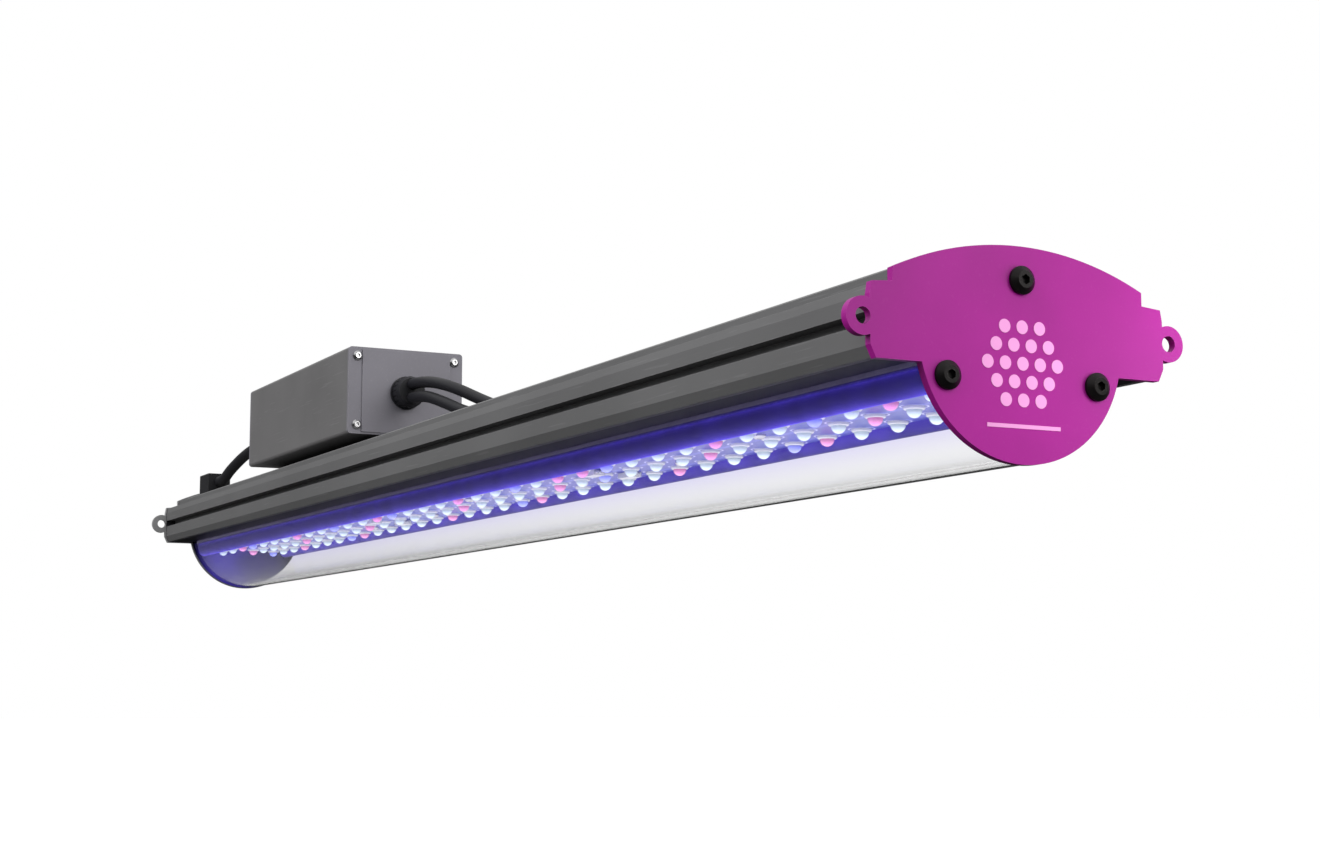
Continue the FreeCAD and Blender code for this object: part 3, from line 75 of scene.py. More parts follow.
class Graph:
    """A short way of writing one node tree."""

    def __init__(self, tree: bpy.types.NodeTree) -> None:
        """Wrap a tree.

        Args:
            tree: the tree that nodes are added to.
        """
        self.tree = tree

    def add(self, kind: str, **settings: object) -> bpy.types.Node:
        """Add a node and set its properties.

        Args:
            kind: the node's type name.
            **settings: properties of the node.

        Returns:
            The new node.
        """
        node = self.tree.nodes.new(kind)
        for name, value in settings.items():
            setattr(node, name, value)
        return node

    def put(self, target: Socket, value: object) -> None:
        """Link a socket to another socket, or give it a plain value.

        Args:
            target: the input socket.
            value: an output socket, a number or a tuple.
        """
        if isinstance(value, bpy.types.NodeSocket):
            self.tree.links.new(value, target)
            return
        if isinstance(value, tuple) and len(value) == 3 and target.type == "RGBA":
            value = (*value, 1.0)
        target.default_value = value

    def math(self, operation: str, *values: object) -> Socket:
        """One math node.

        Args:
            operation: Blender's name of the operation.
            *values: its inputs in order.

        Returns:
            The result.
        """
        node = self.add("ShaderNodeMath", operation=operation)
        for target, value in zip(node.inputs, values):
            self.put(target, value)
        return node.outputs[0]

    def mix(self, factor: object, first: object, second: object) -> Socket:
        """Mix two colours.

        Args:
            factor: how much of the second colour shows.
            first: the colour at 0.
            second: the colour at 1.

        Returns:
            The mixed colour.
        """
        node = self.add("ShaderNodeMix", data_type="RGBA")
        self.put(node.inputs["Factor"], factor)
        self.put(node.inputs[6], first)
        self.put(node.inputs[7], second)
        return node.outputs[2]

    def band(self, value: object, low: float, high: float, start: float = 0.0, end: float = 1.0) -> Socket:
        """Map a range onto another, smoothly and clamped.

        Args:
            value: what is mapped.
            low: where the source range begins.
            high: where it ends.
            start: the result at low.
            end: the result at high.

        Returns:
            The mapped value.
        """
        node = self.add("ShaderNodeMapRange", interpolation_type="SMOOTHSTEP")
        for target, item in zip(node.inputs, (value, low, high, start, end)):
            self.put(target, item)
        return node.outputs[0]

    def place(self) -> Socket:
        """The place on the object in metres."""
        return self.add("ShaderNodeTexCoord").outputs["Object"]

    def axes(self, vector: Socket) -> tuple[Socket, Socket, Socket]:
        """The three parts of a vector."""
        node = self.add("ShaderNodeSeparateXYZ")
        self.put(node.inputs[0], vector)
        return node.outputs[0], node.outputs[1], node.outputs[2]

    def noise(self, vector: Socket, scale: object, detail: float = 3.0) -> Socket:
        """Noise from 0 to 1.

        Args:
            vector: where it is read.
            scale: cells to the metre.
            detail: octaves.

        Returns:
            The noise value.
        """
        node = self.add("ShaderNodeTexNoise")
        self.put(node.inputs["Vector"], vector)
        self.put(node.inputs["Scale"], scale)
        node.inputs["Detail"].default_value = detail
        return node.outputs["Fac"]

    def shared(self, effect: bpy.types.NodeTree, **values: object) -> bpy.types.Node:
        """Place a shared effect.

        Args:
            effect: the node group.
            **values: its inputs, by name with _ for a space.

        Returns:
            The group's node.
        """
        node = self.add("ShaderNodeGroup", node_tree=effect)
        for name, value in values.items():
            self.put(node.inputs[name.replace("_", " ")], value)
        return node


class Effects:
    """Shader node groups that several finishes use, each built once."""

    def __init__(self) -> None:
        """Build every group."""
        self.grain = self._grain()
        self.wear = self._wear()
        self.dust = self._dust()
        self.mottle = self._mottle()
        self.scratches = self._scratches()
        self.spill = self._spill()

    @staticmethod
    def _group(name: str, inputs: dict[str, object],
               outputs: Iterable[str]) -> tuple[Graph, dict[str, Socket], bpy.types.Node]:
        """Make an empty group.

        Args:
            name: the group's name.
            inputs: default values by name, a number or a vector.
            outputs: names of the value outputs.

        Returns:
            Its graph, its input sockets by name, and its output node.
        """
        tree = bpy.data.node_groups.new(name, "ShaderNodeTree")
        for label, default in inputs.items():
            kind = "NodeSocketVector" if isinstance(default, tuple) else "NodeSocketFloat"
            tree.interface.new_socket(label, in_out="INPUT", socket_type=kind).default_value = default
        for label in outputs:
            tree.interface.new_socket(label, in_out="OUTPUT", socket_type="NodeSocketFloat")
        graph = Graph(tree)
        source = graph.add("NodeGroupInput")
        sink = graph.add("NodeGroupOutput")
        return graph, {label: source.outputs[label] for label in inputs}, sink

    def _grain(self) -> bpy.types.NodeTree:
        """Fine grain that can be drawn out along an axis, as die lines are."""
        sizes = {"Scale": 900.0, "Stretch": (1.0, 1.0, 1.0)}
        graph, source, sink = self._group("surface_grain", sizes, ["Height"])
        drawn = graph.add("ShaderNodeVectorMath", operation="MULTIPLY")
        graph.put(drawn.inputs[0], graph.place())
        graph.put(drawn.inputs[1], source["Stretch"])
        fine = graph.noise(drawn.outputs[0], source["Scale"], 4.0)
        coarse = graph.noise(drawn.outputs[0], graph.math("MULTIPLY", source["Scale"], 0.23), 2.0)
        both = graph.math("ADD", graph.math("MULTIPLY", fine, 0.6), graph.math("MULTIPLY", coarse, 0.4))
        graph.put(sink.inputs["Height"], both)
        return graph.tree

    def _wear(self) -> bpy.types.NodeTree:
        """Rubbed edges: where a rounded normal leaves the flat one, broken up by noise."""
        graph, source, sink = self._group("edge_wear", {"Width": 0.0006, "Amount": 0.5}, ["Mask"])
        rounded = graph.add("ShaderNodeBevel", samples=4)
        graph.put(rounded.inputs["Radius"], source["Width"])
        product = graph.add("ShaderNodeVectorMath", operation="DOT_PRODUCT")
        graph.put(product.inputs[0], rounded.outputs[0])
        graph.put(product.inputs[1], graph.add("ShaderNodeNewGeometry").outputs["Normal"])
        edge = graph.band(graph.math("SUBTRACT", 1.0, product.outputs["Value"]), 0.02, 0.22)
        broken = graph.band(graph.noise(graph.place(), 210.0, 4.0), 0.38, 0.66)
        worn = graph.math("MULTIPLY", graph.math("MULTIPLY", edge, broken), source["Amount"])
        graph.put(sink.inputs["Mask"], worn)
        return graph.tree

    def _dust(self) -> bpy.types.NodeTree:
        """Dust on what faces up."""
        graph, source, sink = self._group("settled_dust", {"Amount": 0.3}, ["Mask"])
        normal = graph.add("ShaderNodeNewGeometry").outputs["Normal"]
        upward = graph.band(graph.axes(normal)[2], 0.25, 1.0)
        patchy = graph.band(graph.noise(graph.place(), 38.0, 6.0), 0.3, 0.75, 0.25, 1.0)
        dusty = graph.math("MULTIPLY", upward, patchy)
        graph.put(sink.inputs["Mask"], graph.math("MULTIPLY", dusty, source["Amount"]))
        return graph.tree

    def _mottle(self) -> bpy.types.NodeTree:
        """Slow variation of tone and gloss about 1."""
        graph, source, sink = self._group("tone_mottle", {"Scale": 20.0, "Amount": 0.1}, ["Factor"])
        slow = graph.math("SUBTRACT", graph.noise(graph.place(), source["Scale"], 5.0), 0.5)
        change = graph.math("MULTIPLY", slow, source["Amount"])
        graph.put(sink.inputs["Factor"], graph.math("ADD", change, 1.0))
        return graph.tree

    def _scratches(self) -> bpy.types.NodeTree:
        """Sparse hairline scratches in two directions."""
        graph, source, sink = self._group("hairlines", {"Amount": 0.3}, ["Mask"])
        total = None
        for turn, stretch in ((0.3, (1.0, 34.0, 34.0)), (-0.5, (1.0, 26.0, 26.0))):
            mapping = graph.add("ShaderNodeMapping")
            graph.put(mapping.inputs["Vector"], graph.place())
            mapping.inputs["Rotation"].default_value = (turn, turn * 0.5, turn)
            mapping.inputs["Scale"].default_value = stretch
            line = graph.band(graph.noise(mapping.outputs[0], 26.0, 2.0), 0.66, 0.72)
            total = line if total is None else graph.math("MAXIMUM", total, line)
        graph.put(sink.inputs["Mask"], graph.math("MULTIPLY", total, source["Amount"]))
        return graph.tree

    def _spill(self) -> bpy.types.NodeTree:
        """Where the LEDs' light falls inside the lens, brighter on the front side."""
        sizes = {"Half Width": 0.037, "Fade": 0.014, "Top": -0.0128, "Strength": 1.0}
        graph, source, sink = self._group("led_spill", sizes, ["Mask", "Inside"])
        _, across, up = graph.axes(graph.place())
        side = graph.math("ABSOLUTE", across)
        inner = graph.math("SUBTRACT", source["Half Width"], source["Fade"])
        away = graph.math("DIVIDE", graph.math("SUBTRACT", side, inner), source["Fade"])
        sideways = graph.band(away, 0.0, 1.0, 1.0, 0.0)
        below = graph.math("LESS_THAN", up, source["Top"])
        patchy = graph.band(graph.noise(graph.place(), 60.0, 3.0), 0.25, 0.75, 0.75, 1.15)
        nearer = graph.band(across, -0.02, 0.02, 1.0, 0.3)
        spread = graph.math("MULTIPLY", sideways, below)
        mask = graph.math("MULTIPLY", spread, graph.math("MULTIPLY", patchy, nearer))
        graph.put(sink.inputs["Mask"], graph.math("MULTIPLY", mask, source["Strength"]))
        # Inside masks the painted shade: the dark base colour on surfaces inside the lens.
        within = graph.math("LESS_THAN", side, source["Half Width"])
        graph.put(sink.inputs["Inside"], graph.math("MULTIPLY", within, below))
        return graph.tree


# --------------------------------------------------------------------- finishes


@dataclass(frozen=True)
class Finish:
    """An opaque finish: paint, anodising, plastic, rubber or bare metal."""

    name: str
    colour: Colour
    roughness: float = 0.45
    metallic: float = 0.0
    coat: float = 0.0
    specular: float = 0.5
    grain_scale: float = 1400.0
    grain_stretch: tuple[float, float, float] = (1.0, 1.0, 1.0)
    grain_depth: float = 0.02
    mottle_scale: float = 18.0
    mottle: float = 0.10
    wear: float = 0.35
    wear_width: float = 0.0005
    wear_colour: Colour = (0.45, 0.45, 0.46)
    dust: float = 0.12
    dust_colour: Colour = (0.42, 0.41, 0.39)
    scratches: float = 0.15
    # The spill fields paint the LEDs' light (an emission) and a painted shade (a dark base colour) on
    # surfaces inside the lens.
    spill: float = 0.0
    spill_half: float = 37.0 * MM
    spill_fade: float = 14.0 * MM
    matt: float = 0.25
    spill_top: float = -12.8 * MM
    spill_colour: Colour = (0.28, 0.18, 1.90)
    shade: Colour = (0.006, 0.006, 0.016)
    hairline_tone: float = 0.35
    hairline_polish: float = 0.12
    dust_dulling: float = 0.35
    grain_strength: float = 0.35
    coat_roughness: float = 0.25
    dark_tone: float = 0.82
    light_tone: float = 1.12

    def material(self, effects: Effects) -> bpy.types.Material:
        """Build the material.

        Args:
            effects: the shared node groups.

        Returns:
            The new material.
        """
        material = bpy.data.materials.new(self.name)
        material.use_nodes = True
        graph = Graph(material.node_tree)
        shader = material.node_tree.nodes["Principled BSDF"]
        mottle = graph.shared(effects.mottle, Scale=self.mottle_scale, Amount=self.mottle).outputs[0]
        grain = graph.shared(effects.grain, Scale=self.grain_scale, Stretch=self.grain_stretch).outputs[0]
        dust = graph.shared(effects.dust, Amount=self.dust).outputs[0]
        hairlines = graph.shared(effects.scratches, Amount=self.scratches).outputs[0]
        colour = self._base(graph, mottle)
        if self.wear > 0:
            worn = graph.shared(effects.wear, Width=self.wear_width, Amount=self.wear).outputs[0]
            colour = graph.mix(worn, colour, self.wear_colour)
        colour = graph.mix(graph.math("MULTIPLY", hairlines, self.hairline_tone), colour, self.wear_colour)
        colour = graph.mix(dust, colour, self.dust_colour)
        graph.put(shader.inputs["Base Color"], colour)
        rough = graph.math("MULTIPLY", mottle, self.roughness)
        rough = graph.math("ADD", rough, graph.math("MULTIPLY", dust, self.dust_dulling))
        rough = graph.math("SUBTRACT", rough, graph.math("MULTIPLY", hairlines, self.hairline_polish))
        graph.put(shader.inputs["Roughness"], rough)
        shader.inputs["Metallic"].default_value = self.metallic
        shader.inputs["Coat Weight"].default_value = self.coat
        shader.inputs["Coat Roughness"].default_value = self.coat_roughness
        shader.inputs["Specular IOR Level"].default_value = self.specular
        bump = graph.add("ShaderNodeBump")
        bump.inputs["Strength"].default_value = self.grain_strength
        bump.inputs["Distance"].default_value = self.grain_depth * MM
        graph.put(bump.inputs["Height"], grain)
        graph.put(shader.inputs["Normal"], bump.outputs[0])
        if self.spill > 0:
            self._light_up(graph, shader, effects)
        return material

    def _light_up(self, graph: Graph, shader: bpy.types.Node, effects: Effects) -> None:
        """Add the LEDs' light on surfaces inside the lens as painted light (a violet emission), and darken
        their base colour there as painted shade.

        Args:
            graph: the material's graph.
            shader: its Principled BSDF.
            effects: the shared node groups.
        """
        mask, inside = graph.shared(effects.spill, Half_Width=self.spill_half, Fade=self.spill_fade,
                                    Top=self.spill_top, Strength=self.spill).outputs[:2]
        # Painted light: a violet emission where the LEDs' light falls.
        graph.put(shader.inputs["Emission Color"], graph.mix(mask, (0.0, 0.0, 0.0), self.spill_colour))
        plain = shader.inputs["Base Color"].links[0].from_socket
        # Painted shade: the base colour turns dark inside the lens.
        graph.put(shader.inputs["Base Color"], graph.mix(inside, plain, self.shade))
        polish = shader.inputs["Roughness"].links[0].from_socket
        duller = graph.math("MULTIPLY", inside, self.matt)
        graph.put(shader.inputs["Roughness"], graph.math("ADD", polish, duller))
        shader.inputs["Emission Strength"].default_value = 1.0

    def _base(self, graph: Graph, mottle: Socket) -> Socket:
        """The finish's own colour before wear and dust.

        Args:
            graph: the material's graph.
            mottle: slow variation about 1.

        Returns:
            The colour.
        """
        dark = tuple(part * self.dark_tone for part in self.colour)
        light = tuple(part * self.light_tone for part in self.colour)
        half = self.mottle * 0.5
        return graph.mix(graph.band(mottle, 1.0 - half, 1.0 + half), dark, light)


@dataclass(frozen=True)
class BoardFinish(Finish):
    """Solder mask with pads round each LED, tracks between them and a violet glow."""

    pitch: float = 0.025
    row: float = 0.018
    start: float = -0.45
    pad_outer: float = 5.2 * MM
    pad_inner: float = 4.6 * MM
    blur: float = 0.2 * MM
    track_half: float = 1.4 * MM
    track_blur: float = 0.3 * MM
    track_share: float = 0.5
    track_colour: Colour = (0.16, 0.20, 0.62)
    pad_colour: Colour = (0.75, 0.78, 0.85)
    glow: Colour = (0.030, 0.040, 0.52)
    glow_strength: float = 0.35

    def material(self, effects: Effects) -> bpy.types.Material:
        """Build the mask, and light it a little where the LEDs shine on it.

        Args:
            effects: the shared node groups.

        Returns:
            The new material.
        """
        material = super().material(effects)
        shader = material.node_tree.nodes["Principled BSDF"]
        shader.inputs["Emission Color"].default_value = (*self.glow, 1.0)
        shader.inputs["Emission Strength"].default_value = self.glow_strength
        return material

    def _base(self, graph: Graph, mottle: Socket) -> Socket:
        """Mask, tracks and pads.

        Args:
            graph: the material's graph.
            mottle: slow variation about 1.

        Returns:
            The colour.
        """
        mask = super()._base(graph, mottle)
        along, across, _ = graph.axes(graph.place())
        track = None
        for side in (-1, 0, 1):
            off = graph.math("ABSOLUTE", graph.math("SUBTRACT", across, side * self.row))
            line = graph.band(off, self.track_half, self.track_half + self.track_blur, 1.0, 0.0)
            track = line if track is None else graph.math("MAXIMUM", track, line)
        copper = graph.mix(graph.math("MULTIPLY", track, self.track_share), mask, self.track_colour)
        pads = None
        for shift, rows in ((0.25, (-1, 1)), (0.75, (0,))):
            count = graph.math("DIVIDE", graph.math("SUBTRACT", along, self.start), self.pitch)
            phase = graph.math("SUBTRACT", count, shift)
            part = graph.math("SUBTRACT", phase, graph.math("ROUND", phase))
            turn = graph.math("MULTIPLY", part, self.pitch)
            for side in rows:
                off = graph.math("SUBTRACT", across, side * self.row)
                squares = graph.math("ADD", graph.math("POWER", turn, 2.0), graph.math("POWER", off, 2.0))
                reach = graph.math("SQRT", squares)
                outer = graph.band(reach, self.pad_outer, self.pad_outer + self.blur, 1.0, 0.0)
                inner = graph.band(reach, self.pad_inner, self.pad_inner + self.blur)
                ring = graph.math("MULTIPLY", outer, inner)
                pads = ring if pads is None else graph.math("MAXIMUM", pads, ring)
        return graph.mix(pads, copper, self.pad_colour)


class LedColour(Enum):
    """The three kinds of LED: node, lit colour and strength."""

    WHITE = ("led_domes_white", (0.60, 0.72, 0.82), 0.52)
    RED = ("led_domes_red", (0.78, 0.27, 0.58), 0.52)
    BLUE = ("led_domes_blue", (0.30, 0.34, 1.0), 0.60)


@dataclass(frozen=True)
class DomeFinish:
    """A lit silicone dome: brightest at its crown, clear-coated."""

    name: str
    lit: Colour
    strength: float
    rim_share: float = 0.45
    edge_share: float = 0.6

    def material(self) -> bpy.types.Material:
        """Build the material."""
        material = bpy.data.materials.new(self.name)
        material.use_nodes = True
        graph = Graph(material.node_tree)
        shader = material.node_tree.nodes["Principled BSDF"]
        normal = graph.add("ShaderNodeNewGeometry").outputs["Normal"]
        facing = graph.math("MULTIPLY", graph.axes(normal)[2], -1.0)
        crown = graph.band(facing, 0.05, 0.9)
        speck = graph.band(graph.noise(graph.place(), 900.0, 2.0), 0.3, 0.7, 0.85, 1.0)
        rim = tuple(part * self.rim_share for part in self.lit)
        glow = graph.mix(graph.math("MULTIPLY", crown, speck), rim, self.lit)
        graph.put(shader.inputs["Emission Color"], glow)
        shader.inputs["Emission Strength"].default_value = self.strength
        edge = tuple(part * self.edge_share for part in self.lit)
        graph.put(shader.inputs["Base Color"], graph.mix(crown, edge, self.lit))
        shader.inputs["Roughness"].default_value = 0.12
        shader.inputs["Coat Weight"].default_value = 0.6
        return material


@dataclass(frozen=True)
class LensFinish:
    """Clear extruded acrylic, with faint draw lines and painted violet light near the boards, where the LEDs
    light the lens.
    """

    name: str
    clear: Colour = (0.965, 0.967, 0.97)
    # painted light: the LEDs' violet light on the lens, mixed into the base colour near the boards
    violet: Colour = (0.76, 0.72, 0.99)
    painted_light_top: float = -14.0 * MM
    painted_light_end: float = -34.0 * MM
    index: float = 1.07
    polish: float = 0.02
    hairline_haze: float = 0.05
    line_depth: float = 0.02 * MM
    line_strength: float = 0.12

    def material(self, effects: Effects) -> bpy.types.Material:
        """Build the material.

        Args:
            effects: the shared node groups.

        Returns:
            The new material.
        """
        material = bpy.data.materials.new(self.name)
        material.use_nodes = True
        graph = Graph(material.node_tree)
        shader = material.node_tree.nodes["Principled BSDF"]
        height = graph.axes(graph.place())[2]
        # Painted light: the base colour turns violet towards the boards, where the LEDs light the lens.
        painted_light_mask = graph.band(height, self.painted_light_end, self.painted_light_top)
        graph.put(shader.inputs["Base Color"], graph.mix(painted_light_mask, self.clear, self.violet))
        mottle = graph.shared(effects.mottle, Scale=30.0, Amount=0.6).outputs[0]
        hairlines = graph.shared(effects.scratches, Amount=0.5).outputs[0]
        smooth = graph.math("MULTIPLY", mottle, self.polish)
        rough = graph.math("ADD", smooth, graph.math("MULTIPLY", hairlines, self.hairline_haze))
        graph.put(shader.inputs["Roughness"], rough)
        shader.inputs["Transmission Weight"].default_value = 1.0
        shader.inputs["IOR"].default_value = self.index
        grain = graph.shared(effects.grain, Scale=320.0, Stretch=(0.02, 1.0, 1.0)).outputs[0]
        bump = graph.add("ShaderNodeBump")
        bump.inputs["Strength"].default_value = self.line_strength
        bump.inputs["Distance"].default_value = self.line_depth
        graph.put(bump.inputs["Height"], grain)
        graph.put(shader.inputs["Normal"], bump.outputs[0])
        return material


# ------------------------------------------------------------------ mesh helpers


def dress(nodes: Iterable[str], material: bpy.types.Material) -> None:
    """Give CAD nodes their material.

    Args:
        nodes: names of CAD nodes.
        material: what they wear.
    """
    for name in nodes:
        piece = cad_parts[name]
        if not piece.material_slots:
            piece.data.materials.append(material)
        for slot in piece.material_slots:
            slot.material = material
        LOG.info("%s wears %s", name, material.name)


def soften_edges(nodes: Iterable[str], width: float, segments: int = 2) -> None:
    """Break the sharp edges of CAD nodes with a bevel modifier.

    Args:
        nodes: names of CAD nodes.
        width: the bevel's width in metres.
        segments: steps across it.
    """
    for name in nodes:
        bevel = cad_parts[name].modifiers.new("soft_edges", "BEVEL")
        bevel.width = width
        bevel.segments = segments
        bevel.limit_method = "ANGLE"
        bevel.angle_limit = SHARP_EDGE
        bevel.use_clamp_overlap = True


def link_piece(piece: bpy.types.Object, body: str) -> bpy.types.Object:
    """Put a new piece in the scene and tie it to its body.

    Args:
        piece: the new object.
        body: the CAD body that it rides on.

    Returns:
        The same object.
    """
    bpy.context.scene.collection.objects.link(piece)
    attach(piece, body)
    LOG.info("built %s on %s", piece.name, body)
    return piece


def mesh_piece(name: str, shape: bmesh.types.BMesh, material: bpy.types.Material,
               smooth_angle: float = 35.0) -> bpy.types.Object:
    """Turn a bmesh into an object.

    Args:
        name: the object's name.
        shape: the bmesh, which is freed.
        material: its material.
        smooth_angle: edges sharper than this stay sharp, in degrees.

    Returns:
        The new object, not linked yet.
    """
    bmesh.ops.recalc_face_normals(shape, faces=shape.faces)
    for edge in shape.edges:
        edge.smooth = len(edge.link_faces) == 2 and edge.calc_face_angle(0.0) < math.radians(smooth_angle)
    for face in shape.faces:
        face.smooth = True
    mesh = bpy.data.meshes.new(name)
    shape.to_mesh(mesh)
    shape.free()
    mesh.materials.append(material)
    return bpy.data.objects.new(name, mesh)


def turned_mesh(profile: Sequence[tuple[float, float]], origin: Vector,
                sides: int = 48) -> bmesh.types.BMesh:
    """Turn a closed profile of (along X, radius) about a line along X.

    Args:
        profile: the points, from the axis out and back to it.
        origin: where along = 0 lies.
        sides: steps round.

    Returns:
        A closed bmesh.
    """
    shape = bmesh.new()
    rings = []
    for along, radius in profile:
        if radius < 1e-7:
            rings.append([shape.verts.new(origin + Vector((along, 0.0, 0.0)))])
            continue
        ring = []
        for step in range(sides):
            angle = math.tau * step / sides
            spot = Vector((along, radius * math.cos(angle), radius * math.sin(angle)))
            ring.append(shape.verts.new(origin + spot))
        rings.append(ring)
    for first, second in zip(rings, rings[1:]):
        for step in range(sides):
            after = (step + 1) % sides
            corners = [first[step % len(first)], first[after % len(first)],
                       second[after % len(second)], second[step % len(second)]]
            unique = list(dict.fromkeys(corners))
            if len(unique) > 2:
                shape.faces.new(unique)
    return shape


# ----------------------------------------------------------------- sub-assemblies


@dataclass
class Extrusion:
    """The hollow aluminium body with the black strips that hold the lens."""

    effects: Effects
    # spill paints the LEDs' violet light and a painted shade on the cheeks inside the lens.
    anodised: Finish = Finish(
        "grey_anodising", (0.160, 0.160, 0.163), roughness=0.46, metallic=0.25, specular=0.4,
        grain_scale=1600.0, grain_stretch=(0.012, 1.0, 1.0), grain_depth=0.05, mottle_scale=9.0,
        mottle=0.14, wear=0.5, wear_colour=(0.38, 0.38, 0.39), dust=0.10, scratches=0.35, spill=0.9,
        spill_half=36.5 * MM, spill_fade=14.0 * MM)
    strip: Finish = Finish(
        "black_strip", (0.007, 0.006, 0.010), roughness=0.5, grain_stretch=(0.05, 1.0, 1.0),
        wear=0.1, wear_colour=(0.06, 0.06, 0.07), dust=0.03)
    rubber: Finish = Finish(
        "seal_rubber", (0.018, 0.018, 0.022), roughness=0.75, grain_scale=2600.0,
        wear=0.0, dust=0.05, scratches=0.0)
    # spill paints the LEDs' violet light and a painted shade on the gaskets inside the lens.
    lit_rubber: Finish = Finish(
        "gasket_rubber", (0.018, 0.018, 0.022), roughness=0.40, grain_scale=2600.0, wear=0.0, dust=0.0,
        scratches=0.0, spill=0.16, spill_half=39.0 * MM, spill_fade=20.0 * MM)

    def build(self) -> None:
        """Dress the extrusion, the retainers and the seals."""
        dress(["heatsink_profile"], self.anodised.material(self.effects))
        dress(["lens_retainer_front", "lens_retainer_back"], self.strip.material(self.effects))
        dress(["lens_seal_front", "lens_seal_back"], self.rubber.material(self.effects))
        dress(["end_gasket_near", "end_gasket_far"], self.lit_rubber.material(self.effects))
        soften_edges(["heatsink_profile"], 0.35 * MM)


@dataclass
class Lens:
    """The clear half-round cover."""

    effects: Effects
    acrylic: LensFinish = LensFinish("clear_acrylic")

    def build(self) -> None:
        """Dress the lens."""
        dress(["lens_cover"], self.acrylic.material(self.effects))


@dataclass
class LightEngine:
    """LED boards, packages, domes, links and the pad behind them."""

    effects: Effects
    leds_per_board: int = 12
    row: float = 18.0 * MM
    ceramic: Finish = Finish(
        "led_ceramic", (0.70, 0.71, 0.74), roughness=0.35, wear=0.0, dust=0.0, scratches=0.0, coat=0.3)
    screw: Finish = Finish(
        "bright_zinc", (0.72, 0.72, 0.74), roughness=0.28, metallic=1.0, wear=0.0, dust=0.05, scratches=0.2)
    silicone: Finish = Finish("pad_silicone", (0.32, 0.35, 0.40), roughness=0.8, wear=0.0, dust=0.0)
    housing: Finish = Finish("link_nylon", (0.62, 0.63, 0.66), roughness=0.4, wear=0.0, dust=0.0)

    def build(self) -> None:
        """Dress every board and LED."""
        low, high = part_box("led_board_far")
        pitch = (high[0] - low[0]) / self.leds_per_board
        for label in ("far", "middle", "near"):
            node = "led_board_" + label
            mask = BoardFinish(
                "board_mask_" + label, (0.030, 0.038, 0.26), roughness=0.32, coat=0.4, wear=0.0, dust=0.0,
                scratches=0.0, pitch=pitch, row=self.row, start=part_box(node)[0][0])
            dress([node], mask.material(self.effects))
        for kind in LedColour:
            node, lit, strength = kind.value
            dress([node], DomeFinish("dome_" + kind.name.lower(), lit, strength).material())
        dress(["led_packages"], self.ceramic.material(self.effects))
        dress(["board_screws", "driver_case_screws"], self.screw.material(self.effects))
        dress(["thermal_pad"], self.silicone.material(self.effects))
        dress(["board_links"], self.housing.material(self.effects))


@dataclass
class EndCaps:
    """End plates, their screws and the dots printed on the near plate."""

    effects: Effects
    dot_pitch: float = 6.9 * MM
    dot_radius: float = 2.25 * MM
    dot_sides: int = 40
    ink_thickness: float = 0.12 * MM
    mark_height: float = -11.0 * MM
    bar_half: float = 14.5 * MM
    bar_height: float = 1.3 * MM
    bar_place: float = -31.5 * MM
    magenta: Finish = Finish(
        "magenta_coat", (0.36, 0.006, 0.26), roughness=0.42, specular=0.3, grain_scale=1100.0,
        grain_depth=0.05, mottle_scale=24.0, mottle=0.10, wear=0.35,
        wear_colour=(0.55, 0.12, 0.42), dust=0.0, scratches=0.12)
    grey: Finish = Finish(
        "grey_coat", (0.30, 0.30, 0.305), roughness=0.45, grain_scale=1100.0, grain_depth=0.05, wear=0.4)
    ink: Finish = Finish(
        "pale_pink_ink", (0.86, 0.34, 0.71), roughness=0.5, wear=0.0, dust=0.0,
        scratches=0.0, mottle=0.05)
    oxide: Finish = Finish(
        "black_oxide", (0.020, 0.018, 0.018), roughness=0.34, metallic=0.7, wear=0.5,
        wear_colour=(0.18, 0.17, 0.16), wear_width=0.0003, dust=0.05)

    def build(self) -> None:
        """Dress the ends and print the near plate."""
        dress(["end_plate_near"], self.magenta.material(self.effects))
        dress(["end_plate_far"], self.grey.material(self.effects))
        dress(["end_screws_near", "end_screws_far", "driver_foot_screws"], self.oxide.material(self.effects))
        soften_edges(["end_plate_near", "end_plate_far"], 0.3 * MM)
        self._print_mark()

    def _dot_spots(self) -> list[tuple[float, float]]:
        """Centres of a hexagon of dots, two rings round one."""
        spots = []
        for up in range(-2, 3):
            count = 5 - abs(up)
            for step in range(count):
                across = (step - (count - 1) / 2) * self.dot_pitch
                spots.append((across, self.mark_height + up * self.dot_pitch * math.sqrt(3) / 2))
        return spots

    def _print_mark(self) -> None:
        """Thin discs of ink and one plain bar below them, on the plate's outer face."""
        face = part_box("end_plate_near")[1][0]
        shape = bmesh.new()
        outlines = []
        angles = [math.tau * step / self.dot_sides for step in range(self.dot_sides)]
        for across, up in self._dot_spots():
            outlines.append([(across + self.dot_radius * math.cos(angle),
                              up + self.dot_radius * math.sin(angle)) for angle in angles])
        half, tall, place = self.bar_half, self.bar_height / 2, self.bar_place
        outlines.append([(-half, place - tall), (half, place - tall),
                         (half, place + tall), (-half, place + tall)])
        for outline in outlines:
            back = [shape.verts.new((face, across, up)) for across, up in outline]
            front = [shape.verts.new((face + self.ink_thickness, across, up)) for across, up in outline]
            shape.faces.new(front)
            shape.faces.new(list(reversed(back)))
            for step in range(len(outline)):
                after = (step + 1) % len(outline)
                shape.faces.new([back[step], back[after], front[after], front[step]])
        piece = mesh_piece("plate_print", shape, self.ink.material(self.effects))
        link_piece(piece, MAIN_BODY)


